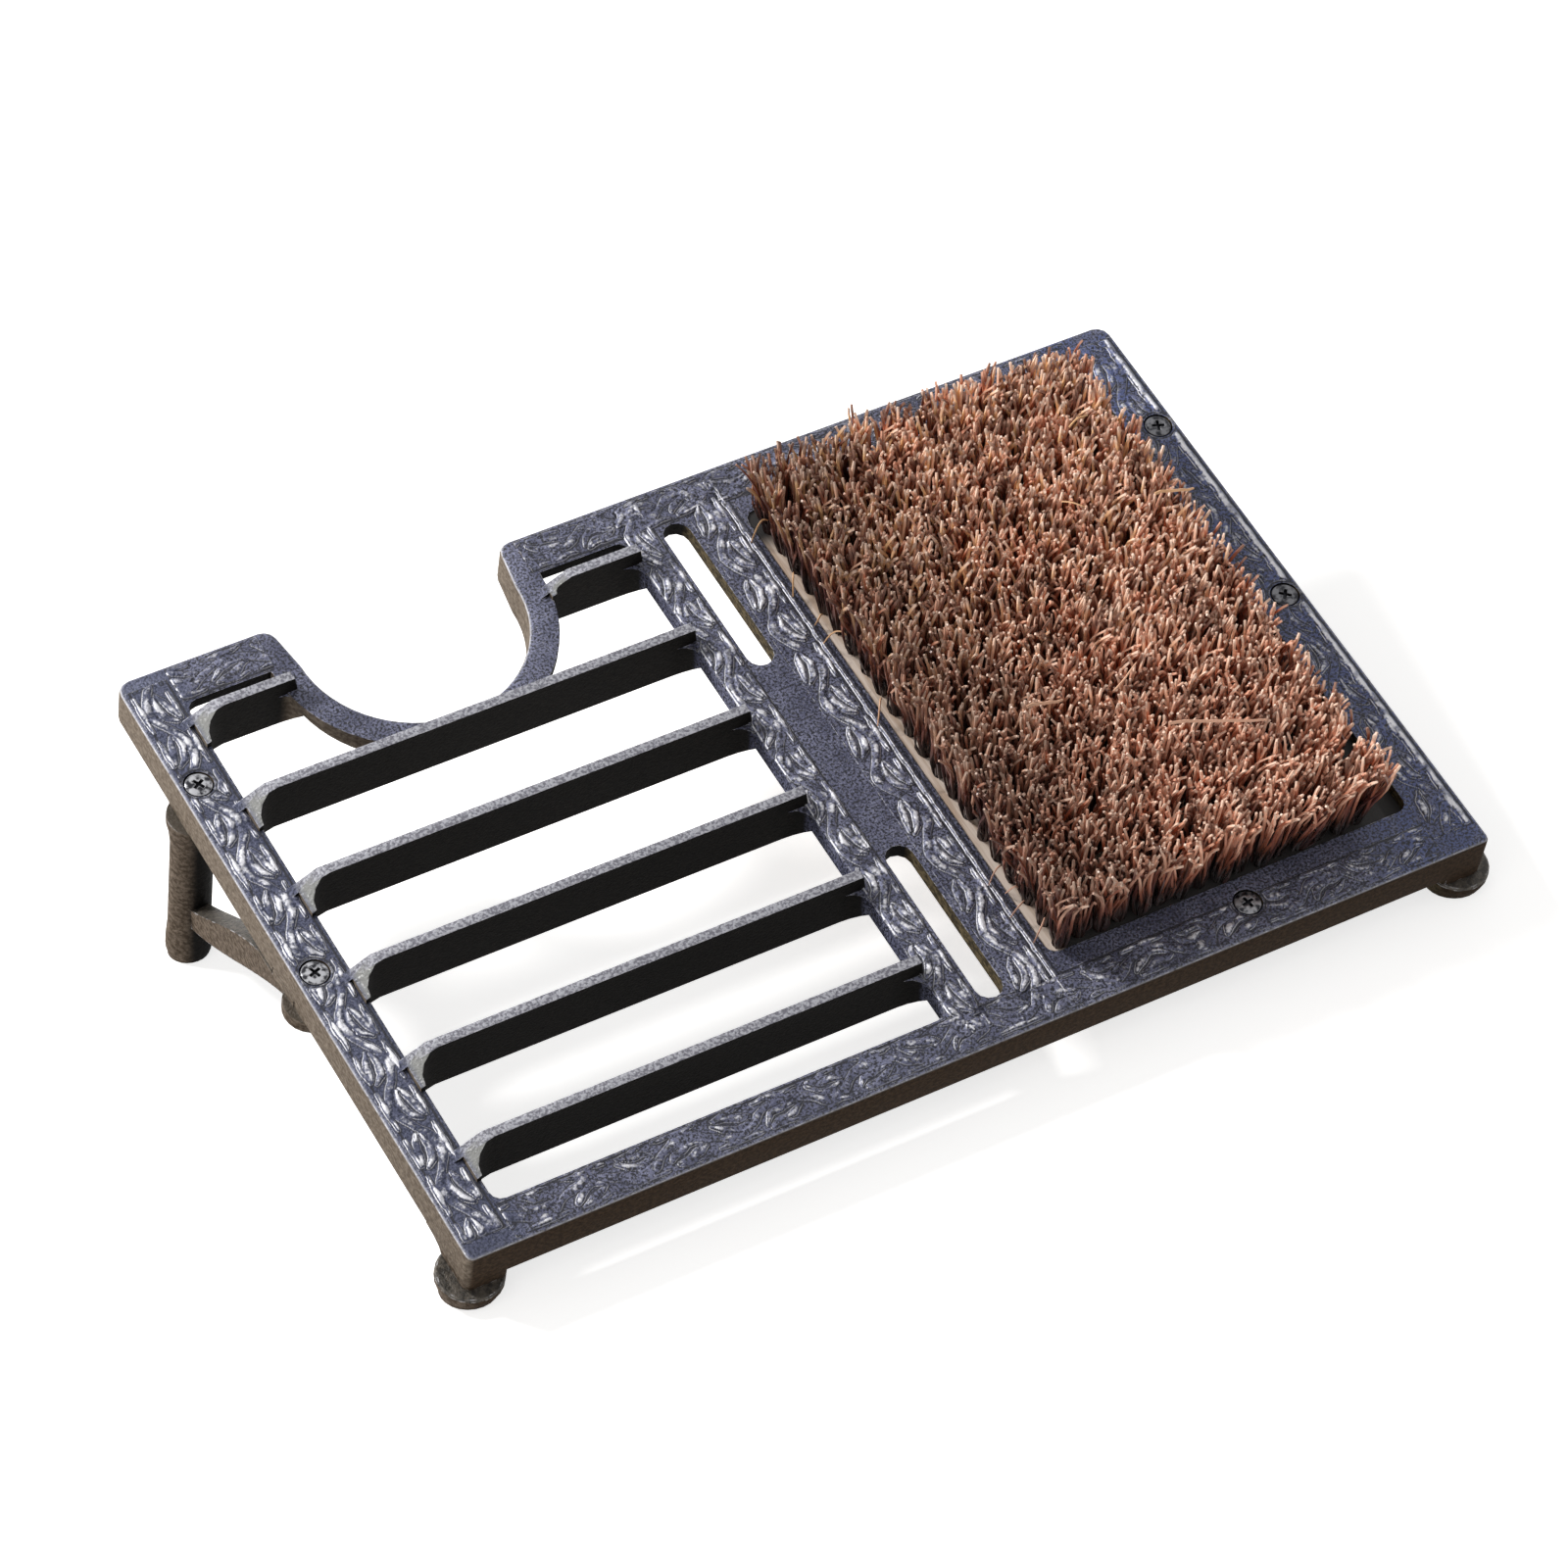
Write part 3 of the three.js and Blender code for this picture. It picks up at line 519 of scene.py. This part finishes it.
def wobble(u, v, size, which):
    # smooth unevenness of a hand-cut pattern
    ox, oy = wobbleOffsets[which]
    return np.array([noise.noise(Vector((a / size + ox, b / size + oy, which))) for a, b in zip(u, v)])


screwPlaces = [
    (6.7, 193.4), (6.7, 113.6), (363.3, 193.4), (363.3, 113.6), (284.75, 12.5), (284.75, 227.5),
]
notch = {"centre": (96.0, 222.0), "radius": 40.0, "mouth": 46.5}

# Each strip of ornament: its box on the plate (left, front, right, rear), the line along its
# middle, where a period starts, the sides that have beads, its strength and how far it wanders,
# and any straight lines (position, radius, height) and grooves beside it, painted as shade lines.
ornament = {
    "vineLeft": {
        "box": (1.3, 6, 16.7, 235), "along": "v", "middle": 8.3, "phase": 8.0, "beads": (1, -1),
        "strength": 1.0, "wander": 1.0, "lines": (), "grooveShades": (2.7, 15.6),
    },
    "vineRight": {
        "box": (352.8, 8, 369.0, 234), "along": "v", "middle": 360.0, "phase": 20.0, "beads": (1,),
        "strength": 0.75, "wander": 1.4, "lines": ((366.4, 0.95, 1.0),), "grooveShades": (368.2,),
    },
    "vineDividerLeft": {
        "box": (176.3, 6, 187.4, 236), "along": "v", "middle": 180.4, "phase": 4.0, "beads": (1,),
        "strength": 0.95, "wander": 1.0, "lines": (), "grooveShades": (187.0,),
    },
    "vineDividerRight": {
        "box": (199.6, 6, 216.6, 236), "along": "v", "middle": 205.9, "phase": 20.6, "beads": (1,),
        "strength": 0.95, "wander": 0.8, "lines": ((213.7, 0.5, 0.8),), "grooveShades": (212.7, 215.4),
    },
    "vineFront": {
        "box": (16.9, 1.3, 352.6, 15.0), "along": "u", "middle": 7.9, "phase": 12.0, "beads": (1, -1),
        "strength": 0.75, "wander": 2.4, "lines": (), "grooveShades": (14.4,),
    },
    "vineRear": {
        "box": (16.9, 224.6, 352.6, 238.7), "along": "u", "middle": 231.9, "phase": 3.0, "beads": (1, -1),
        "strength": 0.75, "wander": 2.4, "lines": (), "grooveShades": (225.2,),
    },
}


def reliefHeight(u, v, strip):
    # from 1 on the crests to -0.9 in the grooves, which are painted as shade lines, ending at the
    # strip's edges, at the notch and in a ring of painted shade round each screw
    left, front, right, rear = strip["box"]
    across, along = (u, v) if strip["along"] == "v" else (v, u)
    s = along - strip["phase"] + 0.9 * strip["wander"] * wobble(u, v, 9.0, 0)
    t = across - strip["middle"] + 0.6 * strip["wander"] * wobble(u, v, 6.0, 1)
    raised, grooveShade = vineHeight(s, t, strip["beads"])
    uneven = wobble(u, v, 4.5, 2)
    grit = wobble(u, v, 1.2, 3)
    raised = np.clip(raised * (0.85 + 0.75 * uneven), 0, 1) * strip["strength"]
    for position, radius, high in strip["lines"]:
        bead = high * np.clip(1 - ((across - position + 0.3 * uneven) / radius) ** 2, 0, 1) ** 0.5
        raised = np.maximum(raised, bead)
    for position in strip["grooveShades"]:
        grooveShade = np.maximum(grooveShade, np.clip(1.3 - np.abs(across - position) / 0.5, 0, 1))
    inside = fade(u, left + 0.2, left + 1.0) * fade(right - u, 0.2, 1.0)
    inside = inside * fade(v, front + 0.2, front + 1.5) * fade(rear - v, 0.2, 1.5)
    fromNotch = np.hypot(u - notch["centre"][0], v - notch["centre"][1]) - notch["radius"]
    inside = inside * fade(fromNotch, 0.5, 2.5)
    for x, y in screwPlaces:
        away = np.hypot(u - x, v - y)
        inside = inside * fade(away, 5.8, 6.8)
        grooveShade = np.maximum(grooveShade * fade(away, 5.8, 6.4), 1 - fade(away, 5.8, 6.3))
    raised = raised * inside
    low = 0.08  # what is lower than this is ground, cut by the grooves
    # negative heights only paint the grooves dark, as shade; the sheet is not cut there
    height = np.where(raised > low, raised, -grooveShade * 0.9 * (1 - raised / low))
    return height + 0.06 * grit * (raised > 0.05)


def reliefSkin(name, strip):
    # a closed sheet that lies on the plate's top, finely divided and raised into the ornament
    left, front, right, rear = strip["box"]
    bm = bmesh.new()
    bmesh.ops.create_grid(
        bm,
        x_segments=int((right - left) / vine["cell"]),
        y_segments=int((rear - front) / vine["cell"]),
        size=0.5,
    )
    bmesh.ops.scale(bm, vec=(right - left, rear - front, 1), verts=bm.verts)
    bmesh.ops.translate(bm, vec=((left + right) / 2, (front + rear) / 2, 0), verts=bm.verts)
    bm.verts.ensure_lookup_table()
    gone = [vert for vert in bm.verts if offPlate(vert.co.x, vert.co.y)]
    bmesh.ops.delete(bm, geom=gone, context="VERTS")
    u = np.array([vert.co.x for vert in bm.verts])
    v = np.array([vert.co.y for vert in bm.verts])
    h = reliefHeight(u, v, strip)
    layer = bm.verts.layers.float.new("relief")
    for vert, high in zip(bm.verts, h):
        vert.co.z = max(high, 0) * vine["height"] + vine["ground"]
        vert[layer] = high
    solidBelow(bm, vine["thickness"])
    keepPiece(bm, name, ironFinish, crease["fine"])


def offPlate(u, v):
    # the notch with its rounded mouth, and the countersinks
    x, y = notch["centre"]
    if math.hypot(u - x, v - y) < notch["radius"]:
        return True
    if v > y and abs(u - x) < notch["mouth"]:
        return True
    return any(math.hypot(u - x, v - y) < 5.05 for x, y in screwPlaces)


def solidBelow(bm, depth):
    # closes a thin sheet by a copy of it lower down
    kept = bmesh.ops.extrude_face_region(bm, geom=list(bm.faces), use_keep_orig=True)
    lower = [g for g in kept["geom"] if isinstance(g, bmesh.types.BMVert)]
    for vert in lower:
        vert.co.z = -depth
    bmesh.ops.recalc_face_normals(bm, faces=bm.faces)


for name, strip in ornament.items():
    reliefSkin(name, strip)
print("vine ornament raised")


screwHead = {
    "radius": 4.5, "dome": 0.35, "edge": 0.5, "seat": 2.8, "shank": 2.4,
    "slot": 1.35, "slotLength": 5.2, "slotDepth": 1.5, "sides": 48,
}

# the CAD node of each screw, its place on the plate and its length
screws = {
    "legScrewRearLeft": ("leg_screw_rear_left", screwPlaces[0], 28.0),
    "legScrewFrontLeft": ("leg_screw_front_left", screwPlaces[1], 15.3),
    "legScrewRearRight": ("leg_screw_rear_right", screwPlaces[2], 28.0),
    "legScrewFrontRight": ("leg_screw_front_right", screwPlaces[3], 15.3),
    "brushScrewFront": ("brush_screw_front", screwPlaces[4], 17.9),
    "brushScrewRear": ("brush_screw_rear", screwPlaces[5], 17.9),
}


def crossScrew(name, node, place, length, turn):
    # a turned countersunk screw with a cross slot, at its own turn
    h = screwHead
    bm = bmesh.new()
    profile = [
        (0, -length), (h["shank"] - 0.5, -length), (h["shank"], -length + 0.5),
        (h["shank"], -h["seat"]), (h["radius"], -1.2), (h["radius"], -h["edge"]),
        (h["radius"] - 0.15, -0.15), (h["radius"] - 0.5, 0.02), (2.6, h["dome"] * 0.7), (0, h["dome"]),
    ]
    verts = [bm.verts.new((x, 0, z)) for x, z in profile]
    edges = [bm.edges.new(pair) for pair in zip(verts, verts[1:])]
    bmesh.ops.spin(bm, geom=verts + edges, cent=(0, 0, 0), axis=(0, 0, 1), angle=math.tau,
                   steps=h["sides"], use_merge=True)
    bmesh.ops.remove_doubles(bm, verts=bm.verts, dist=1e-4)
    bmesh.ops.recalc_face_normals(bm, faces=bm.faces)
    mesh = bpy.data.meshes.new("screwBlank")
    bm.to_mesh(mesh)
    bm.free()
    blank = bpy.data.objects.new("screwBlank", mesh)
    bpy.context.scene.collection.objects.link(blank)
    cutters = []
    for angle in (turn, turn + math.pi / 2):
        cut = bmesh.new()
        bmesh.ops.create_cube(cut, size=1)
        bmesh.ops.scale(cut, vec=(h["slotLength"], h["slot"], 2 * h["slotDepth"]), verts=cut.verts)
        for vert in cut.verts:  # the slot narrows to its floor
            if vert.co.z < 0:
                vert.co.x *= 0.72
                vert.co.y *= 0.7
        bmesh.ops.rotate(cut, matrix=Matrix.Rotation(angle, 3, "Z"), verts=cut.verts)
        bmesh.ops.translate(cut, vec=(0, 0, h["dome"]), verts=cut.verts)
        cutMesh = bpy.data.meshes.new("slotCutter")
        cut.to_mesh(cutMesh)
        cut.free()
        cutter = bpy.data.objects.new("slotCutter", cutMesh)
        bpy.context.scene.collection.objects.link(cutter)
        modifier = blank.modifiers.new("slot", "BOOLEAN")
        modifier.object = cutter
        modifier.solver = "EXACT"
        cutters.append(cutter)
    graph = bpy.context.evaluated_depsgraph_get()
    cutMesh = bpy.data.meshes.new_from_object(blank.evaluated_get(graph))
    bm = bmesh.new()
    bm.from_mesh(cutMesh)
    bpy.data.meshes.remove(cutMesh)
    for thing in cutters + [blank]:
        bpy.data.objects.remove(thing)
    bmesh.ops.translate(bm, vec=(place[0], place[1], 0), verts=bm.verts)
    keepPiece(bm, name, steelFinish, crease["screw"], (node,))


for (name, (node, place, length)), turn in zip(screws.items(), (0.5, 0.35, 1.2, 0.9, 0.2, 0.7)):
    crossScrew(name, node, place, length, turn)
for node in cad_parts:
    if node.startswith(("foot_stud", "brush_washer", "brush_nut")):
        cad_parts[node].material_slots[0].material = steelFinish
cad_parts["brush_stock"].material_slots[0].material = woodFinish
print("screws made")


# The brush in millimetres on the plate: the field of the tufts, the bored bed, the strands of a
# tuft, how the tufts lean from one side to the other, and what lies loose. One strand in a
# few is short, and each curls over at its end.
brush = {
    "left": 218.3, "right": 337.8, "front": 20.9, "rear": 213.9,
    "across": 16, "rows": 21, "slices": 4, "stagger": 0.5,
    "bedTop": -0.5, "bedBottom": -3.9, "bed": (217.3, 22.3, 344.0, 217.7), "hole": 2.3, "holeDepth": 2.2,
    "variants": 14, "tipsAcross": 5, "tipsBack": 5, "rootSpread": 1.95, "clumps": 6, "clumpPull": 0.27,
    "height": (24.0, 28.0), "shortShare": 0.28, "shorter": (1, 6), "radius": 0.52, "tipRadius": 0.48,
    "segments": 7, "wave": 0.9, "waves": (1.2, 2.4), "curl": (0.8, 4.0), "curlFrom": 0.68,
    "leanRight": (-0.12, 0.22), "leanBack": (0.05, 0.31), "untidy": 0.04,
    "strays": 12, "strayRadii": (0.32, 0.32, 0.32, 0.32, 0.3, 0.28, 0.2),
    "straws": (
        ((283.9, 67.3), (313.6, 55.6)), ((330.0, 150.0), (343.0, 147.0)), ((246.0, 92.0), (258.0, 90.0)),
    ),
    "strawHeight": 28.4, "strawRadii": (0.6, 0.62, 0.62, 0.62, 0.6, 0.55, 0.4),
    "looseStrand": 0.95, "looseAlong": 0.86,
}


def placeRing(point, ahead, radius):
    turn = ahead.to_track_quat("Z", "X").to_matrix().to_4x4()
    return Matrix.Translation(point) @ turn @ Matrix.Scale(radius, 4)


def fibre(bm, points, radii, strandValue, alongs):
    # a four-sided fibre along a path; its two attributes feed the coir colours
    along = bm.verts.layers.float["along"]
    strand = bm.verts.layers.float["strand"]
    frames = []
    for k, point in enumerate(points):
        ahead = points[min(k + 1, len(points) - 1)] - points[max(k - 1, 0)]
        frames.append(placeRing(point, ahead, radii[k]))
    ring = bmesh.ops.create_circle(bm, segments=4, radius=1, matrix=frames[0])["verts"]
    # each edge once, in an order that is the same each run
    edges = list(dict.fromkeys(edge for vert in ring for edge in vert.link_edges))
    bmesh.ops.edgeloop_fill(bm, edges=edges)
    for vert in ring:
        vert[along], vert[strand] = alongs[0], strandValue
    for k in range(1, len(points)):
        grown = bmesh.ops.extrude_edge_only(bm, edges=edges)["geom"]
        ring = [g for g in grown if isinstance(g, bmesh.types.BMVert)]
        loop = set(ring)
        edges = [g for g in grown if isinstance(g, bmesh.types.BMEdge) and set(g.verts) <= loop]
        bmesh.ops.transform(bm, matrix=frames[k] @ frames[k - 1].inverted(), verts=ring)
        for vert in ring:
            vert[along], vert[strand] = alongs[k], strandValue
    bmesh.ops.edgeloop_fill(bm, edges=edges)


def newFibres():
    bm = bmesh.new()
    bm.verts.layers.float.new("along")
    bm.verts.layers.float.new("strand")
    return bm


def tuftMesh():
    # the roots of a tuft fill its hole, and its curled tips spread over its cell in a few clumps
    b = brush
    cellX = (b["right"] - b["left"]) / b["across"]
    cellY = (b["rear"] - b["front"]) / b["rows"]
    bm = newFibres()
    clumps = [Vector((random.uniform(-0.5, 0.5) * cellX, random.uniform(-0.5, 0.5) * cellY, 0))
              for _ in range(b["clumps"])]
    for i in range(b["tipsAcross"]):
        for j in range(b["tipsBack"]):
            x = 2 * (i + random.random()) / b["tipsAcross"] - 1
            y = 2 * (j + random.random()) / b["tipsBack"] - 1
            root = Vector((x * math.sqrt(1 - y * y / 2), y * math.sqrt(1 - x * x / 2), 0)) * b["rootSpread"]
            tip = Vector((x * cellX / 2, y * cellY / 2, 0))
            tip = tip.lerp(min(clumps, key=lambda clump: (clump - tip).length), b["clumpPull"])
            height = random.uniform(*b["height"])
            height -= (random.random() < b["shortShare"]) * random.uniform(*b["shorter"])
            sway = Vector((random.gauss(0, 1), random.gauss(0, 1), 0)) * b["wave"]
            swing = math.pi * random.uniform(*b["waves"])
            turn = random.uniform(0, math.tau)
            curl = Vector((math.cos(turn), math.sin(turn), 0)) * random.uniform(*b["curl"])
            fractions = [1 - (1 - n / b["segments"]) ** 1.5 for n in range(b["segments"] + 1)]
            points = []
            for f in fractions:
                late = (max(0, f - b["curlFrom"]) / (1 - b["curlFrom"])) ** 2
                point = root.lerp(tip, f ** 1.15) + sway * math.sin(swing * f) + curl * late
                point.z = b["bedTop"] - 1.5 + (height + 1.5) * f - 0.3 * curl.length * late
                points.append(point)
            width = b["radius"] * random.uniform(0.8, 1.2)
            radii = [width] * b["segments"] + [b["tipRadius"] * random.uniform(0.8, 1.15)]
            fibre(bm, points, radii, random.random(), fractions)
    bmesh.ops.recalc_face_normals(bm, faces=bm.faces)
    mesh = bpy.data.meshes.new("tuft")
    bm.to_mesh(mesh)
    bm.free()
    return mesh


tufts = [tuftMesh() for _ in range(brush["variants"])]
print("tufts made")


def staggered(column):
    # every other row of tufts is set back, as in the stock
    return brush["stagger"] if column % 2 else -brush["stagger"]


def brushFibres(index):
    # one slice of the brush, which leans more and more to the right and to the rear
    b = brush
    bm = newFibres()
    perSlice = b["across"] // b["slices"]
    for row in range(b["rows"]):
        for k in range(perSlice):
            column = index * perSlice + k
            fx = (column + 0.5) / b["across"]
            fy = (row + 0.5) / b["rows"]
            x = b["left"] + (b["right"] - b["left"]) * fx
            y = b["front"] + (b["rear"] - b["front"]) * fy + staggered(column)
            low, high = b["leanRight"]
            leanX = low + (high - low) * fx ** 0.8 + random.gauss(0, b["untidy"])
            low, high = b["leanBack"]
            leanY = low + (high - low) * fy ** 1.3 + random.gauss(0, b["untidy"])
            shear = Matrix(((1, 0, leanX, x), (0, 1, leanY, y), (0, 0, 1, 0), (0, 0, 0, 1)))
            turn = Matrix.Rotation(random.choice((0, math.pi)), 4, "Z")
            before = len(bm.verts)
            bm.from_mesh(random.choice(tufts))
            bm.verts.ensure_lookup_table()
            bmesh.ops.transform(bm, matrix=shear @ turn, verts=bm.verts[before:])
    if index == 0:
        strayFibres(bm)
    keepPiece(bm, f"coirFibres{index + 1}", coirFinish, crease["fine"],
              (f"bristles_{index + 1}",))


def strayFibres(bm):
    # loose fibres: most have sprung out over the left edge, a few lie on top of the brush
    b = brush
    for k in range(b["strays"]):
        y = random.uniform(b["front"] + 6, b["rear"] - 6)
        if k % 4:
            start = Vector((b["left"] + random.uniform(-1, 1), y, random.uniform(1, 9)))
            reach = Vector((-random.uniform(2, 6), random.gauss(0, 4), 0))
            drop, arch = start.z - 0.6, 2.0
        else:
            start = Vector((random.uniform(b["left"] + 20, b["right"] - 15), y, 27.6))
            reach = Vector((random.uniform(5, 14), random.gauss(0, 4), 0))
            drop, arch = -0.3, 0.8
        points = []
        for n in range(7):
            f = n / 6
            lift = arch * math.sin(math.pi * f) - drop * f * f
            points.append(start + reach * f + Vector((0, 0.8 * math.sin(3 * f + k), lift)))
        fibre(bm, points, b["strayRadii"], b["looseStrand"], [b["looseAlong"]] * 7)
    for (x0, y0), (x1, y1) in b["straws"]:
        points = []
        for n in range(7):
            y = y0 + (y1 - y0) * n / 6 + 0.5 * math.sin(n)
            points.append(Vector((x0 + (x1 - x0) * n / 6, y, b["strawHeight"] + 0.3 * math.sin(2 * n))))
        fibre(bm, points, b["strawRadii"], b["looseStrand"], [b["looseAlong"]] * 7)


for index in range(brush["slices"]):
    brushFibres(index)
for mesh in tufts:
    bpy.data.meshes.remove(mesh)
print("coir fibres planted")


def bedCell(cellX, cellY, shift):
    # one cell of the bed, with its bored hole off the middle by the stagger
    b = brush
    cell = bmesh.new()
    outer = bmesh.ops.create_circle(cell, segments=16, radius=1)["verts"]
    for vert in outer:
        vert.co *= 0.5 / max(abs(vert.co.x), abs(vert.co.y))
        vert.co.x *= cellX
        vert.co.y *= cellY
    outerEdges = list(cell.edges)
    hole = bmesh.ops.create_circle(cell, segments=16, radius=b["hole"])["verts"]
    bmesh.ops.translate(cell, vec=(0, shift, 0), verts=hole)
    holeEdges = [edge for edge in cell.edges if edge not in set(outerEdges)]
    bmesh.ops.bridge_loops(cell, edges=outerEdges + holeEdges)
    sunk = bmesh.ops.extrude_edge_only(cell, edges=holeEdges)["geom"]
    floor = [g for g in sunk if isinstance(g, bmesh.types.BMVert)]
    bmesh.ops.translate(cell, vec=(0, 0, -b["holeDepth"]), verts=floor)
    floorSet = set(floor)
    bmesh.ops.edgeloop_fill(cell, edges=[g for g in sunk if isinstance(g, bmesh.types.BMEdge)
                                         and set(g.verts) <= floorSet])
    mesh = bpy.data.meshes.new("bedCell")
    cell.to_mesh(mesh)
    cell.free()
    return mesh


def brushBed():
    # the wooden face of the brush, with a bored hole round the root of each tuft
    b = brush
    cellX = (b["right"] - b["left"]) / b["across"]
    cellY = (b["rear"] - b["front"]) / b["rows"]
    cells = [bedCell(cellX, cellY, staggered(column)) for column in (0, 1)]
    bm = bmesh.new()
    for row in range(b["rows"]):
        for column in range(b["across"]):
            before = len(bm.verts)
            bm.from_mesh(cells[column % 2])
            bm.verts.ensure_lookup_table()
            x, y = b["left"] + (column + 0.5) * cellX, b["front"] + (row + 0.5) * cellY
            bmesh.ops.translate(bm, vec=(x, y, b["bedTop"]), verts=bm.verts[before:])
    for mesh in cells:
        bpy.data.meshes.remove(mesh)
    bmesh.ops.remove_doubles(bm, verts=bm.verts, dist=1e-3)
    left, front, right, rear = b["bed"]
    rim = [edge for edge in bm.edges if edge.is_boundary]
    for drop in (0, 1):
        grown = bmesh.ops.extrude_edge_only(bm, edges=rim)["geom"]
        verts = [g for g in grown if isinstance(g, bmesh.types.BMVert)]
        loop = set(verts)
        rim = [g for g in grown if isinstance(g, bmesh.types.BMEdge) and set(g.verts) <= loop]
        if drop:
            for vert in verts:
                vert.co.z = b["bedBottom"]
        else:
            for vert in verts:
                vert.co.x = stretch(vert.co.x, b["left"], b["right"], left, right)
                vert.co.y = stretch(vert.co.y, b["front"], b["rear"], front, rear)
    bmesh.ops.edgeloop_fill(bm, edges=rim)
    bmesh.ops.recalc_face_normals(bm, faces=bm.faces)
    keepPiece(bm, "brushBed", woodFinish, crease["wood"])


def stretch(value, low, high, newLow, newHigh):
    # only the outermost positions move out to the new edge
    if value < low + 0.01:
        return newLow
    if value > high - 0.01:
        return newHigh
    return value


brushBed()
print("brush bed bored")


# Floor, light and camera

# a soft key light from the rear left, as the sun in the photo, and a weak fill
studio = {
    "floor": "#f4f2ef", "glow": 0.70, "world": 0.30,
    "keyFrom": Vector((-0.50, 0.55, 0.67)), "keyDistance": 2.2, "keySize": 0.5, "keyPower": 50.0,
    "fillFrom": Vector((-0.9, -0.5, 0.7)), "fillPower": 4.0, "fillSize": 1.6,
}


def whenSeen(tree):
    # 1 for rays from the camera and for mirrored and transmitted ones
    path = addNode(tree, "LightPath")
    seen = times(tree, path.outputs["Is Camera Ray"], path.outputs["Is Glossy Ray"], "ADD")
    return times(tree, seen, path.outputs["Is Transmission Ray"], "ADD")


def makeFloor():
    bm = bmesh.new()
    bmesh.ops.create_grid(bm, x_segments=1, y_segments=1, size=4)
    mesh = bpy.data.meshes.new("studioFloor")
    bm.to_mesh(mesh)
    bm.free()
    material, tree = newMaterial("Matt white paper")
    diffuse = addNode(tree, "BsdfDiffuse", {"Color": hexColour(studio["floor"])})
    glow = addNode(tree, "Emission", {
        "Color": hexColour("#ffffff"),
        "Strength": times(tree, whenSeen(tree), studio["glow"]),
    })
    both = addNode(tree, "AddShader", {0: diffuse.outputs[0], 1: glow.outputs[0]})
    addNode(tree, "OutputMaterial", {"Surface": both.outputs[0]})
    mesh.materials.append(material)
    floor = bpy.data.objects.new("studioFloor", mesh)
    bpy.context.scene.collection.objects.link(floor)


def makeWorld():
    world = bpy.data.worlds.new("studioWorld")
    bpy.context.scene.world = world
    world.use_nodes = True
    tree = world.node_tree
    tree.nodes.clear()
    strength = addNode(tree, "Mix", {"Factor": whenSeen(tree), "A": studio["world"], "B": 1.0})
    background = addNode(tree, "Background", {
        "Color": hexColour("#ffffff"), "Strength": strength.outputs["Result"],
    })
    addNode(tree, "OutputWorld", {"Surface": background.outputs[0]})


def areaLight(name, direction, distance, size, power):
    lamp = bpy.data.lights.new(name, "AREA")
    lamp.shape = "DISK"
    lamp.size = size
    lamp.energy = power
    holder = bpy.data.objects.new(name, lamp)
    holder.location = direction.normalized() * distance
    holder.rotation_euler = direction.to_track_quat("Z", "Y").to_euler()
    bpy.context.scene.collection.objects.link(holder)


makeFloor()
makeWorld()
areaLight("keyLight", studio["keyFrom"], studio["keyDistance"], studio["keySize"], studio["keyPower"])
areaLight("fillLight", studio["fillFrom"], studio["keyDistance"], studio["fillSize"], studio["fillPower"])

# the camera fitted to the photo: place in metres, turn in degrees, lens and sensor in millimetres
photoCamera = {
    "place": (-0.74588, -1.32543, 1.30099), "turn": (50.4334, 1.3359, -30.2288),
    "lens": 142.02, "sensor": 36, "clipEnd": 20,
}
camera = bpy.data.cameras.new("photoCamera")
camera.lens = photoCamera["lens"]
camera.sensor_width = photoCamera["sensor"]
camera.clip_end = photoCamera["clipEnd"]
cameraHolder = bpy.data.objects.new("photoCamera", camera)
cameraHolder.location = photoCamera["place"]
cameraHolder.rotation_euler = [math.radians(a) for a in photoCamera["turn"]]
bpy.context.scene.collection.objects.link(cameraHolder)
bpy.context.scene.camera = cameraHolder
bpy.context.scene.view_settings.view_transform = "Standard"
print("studio set")
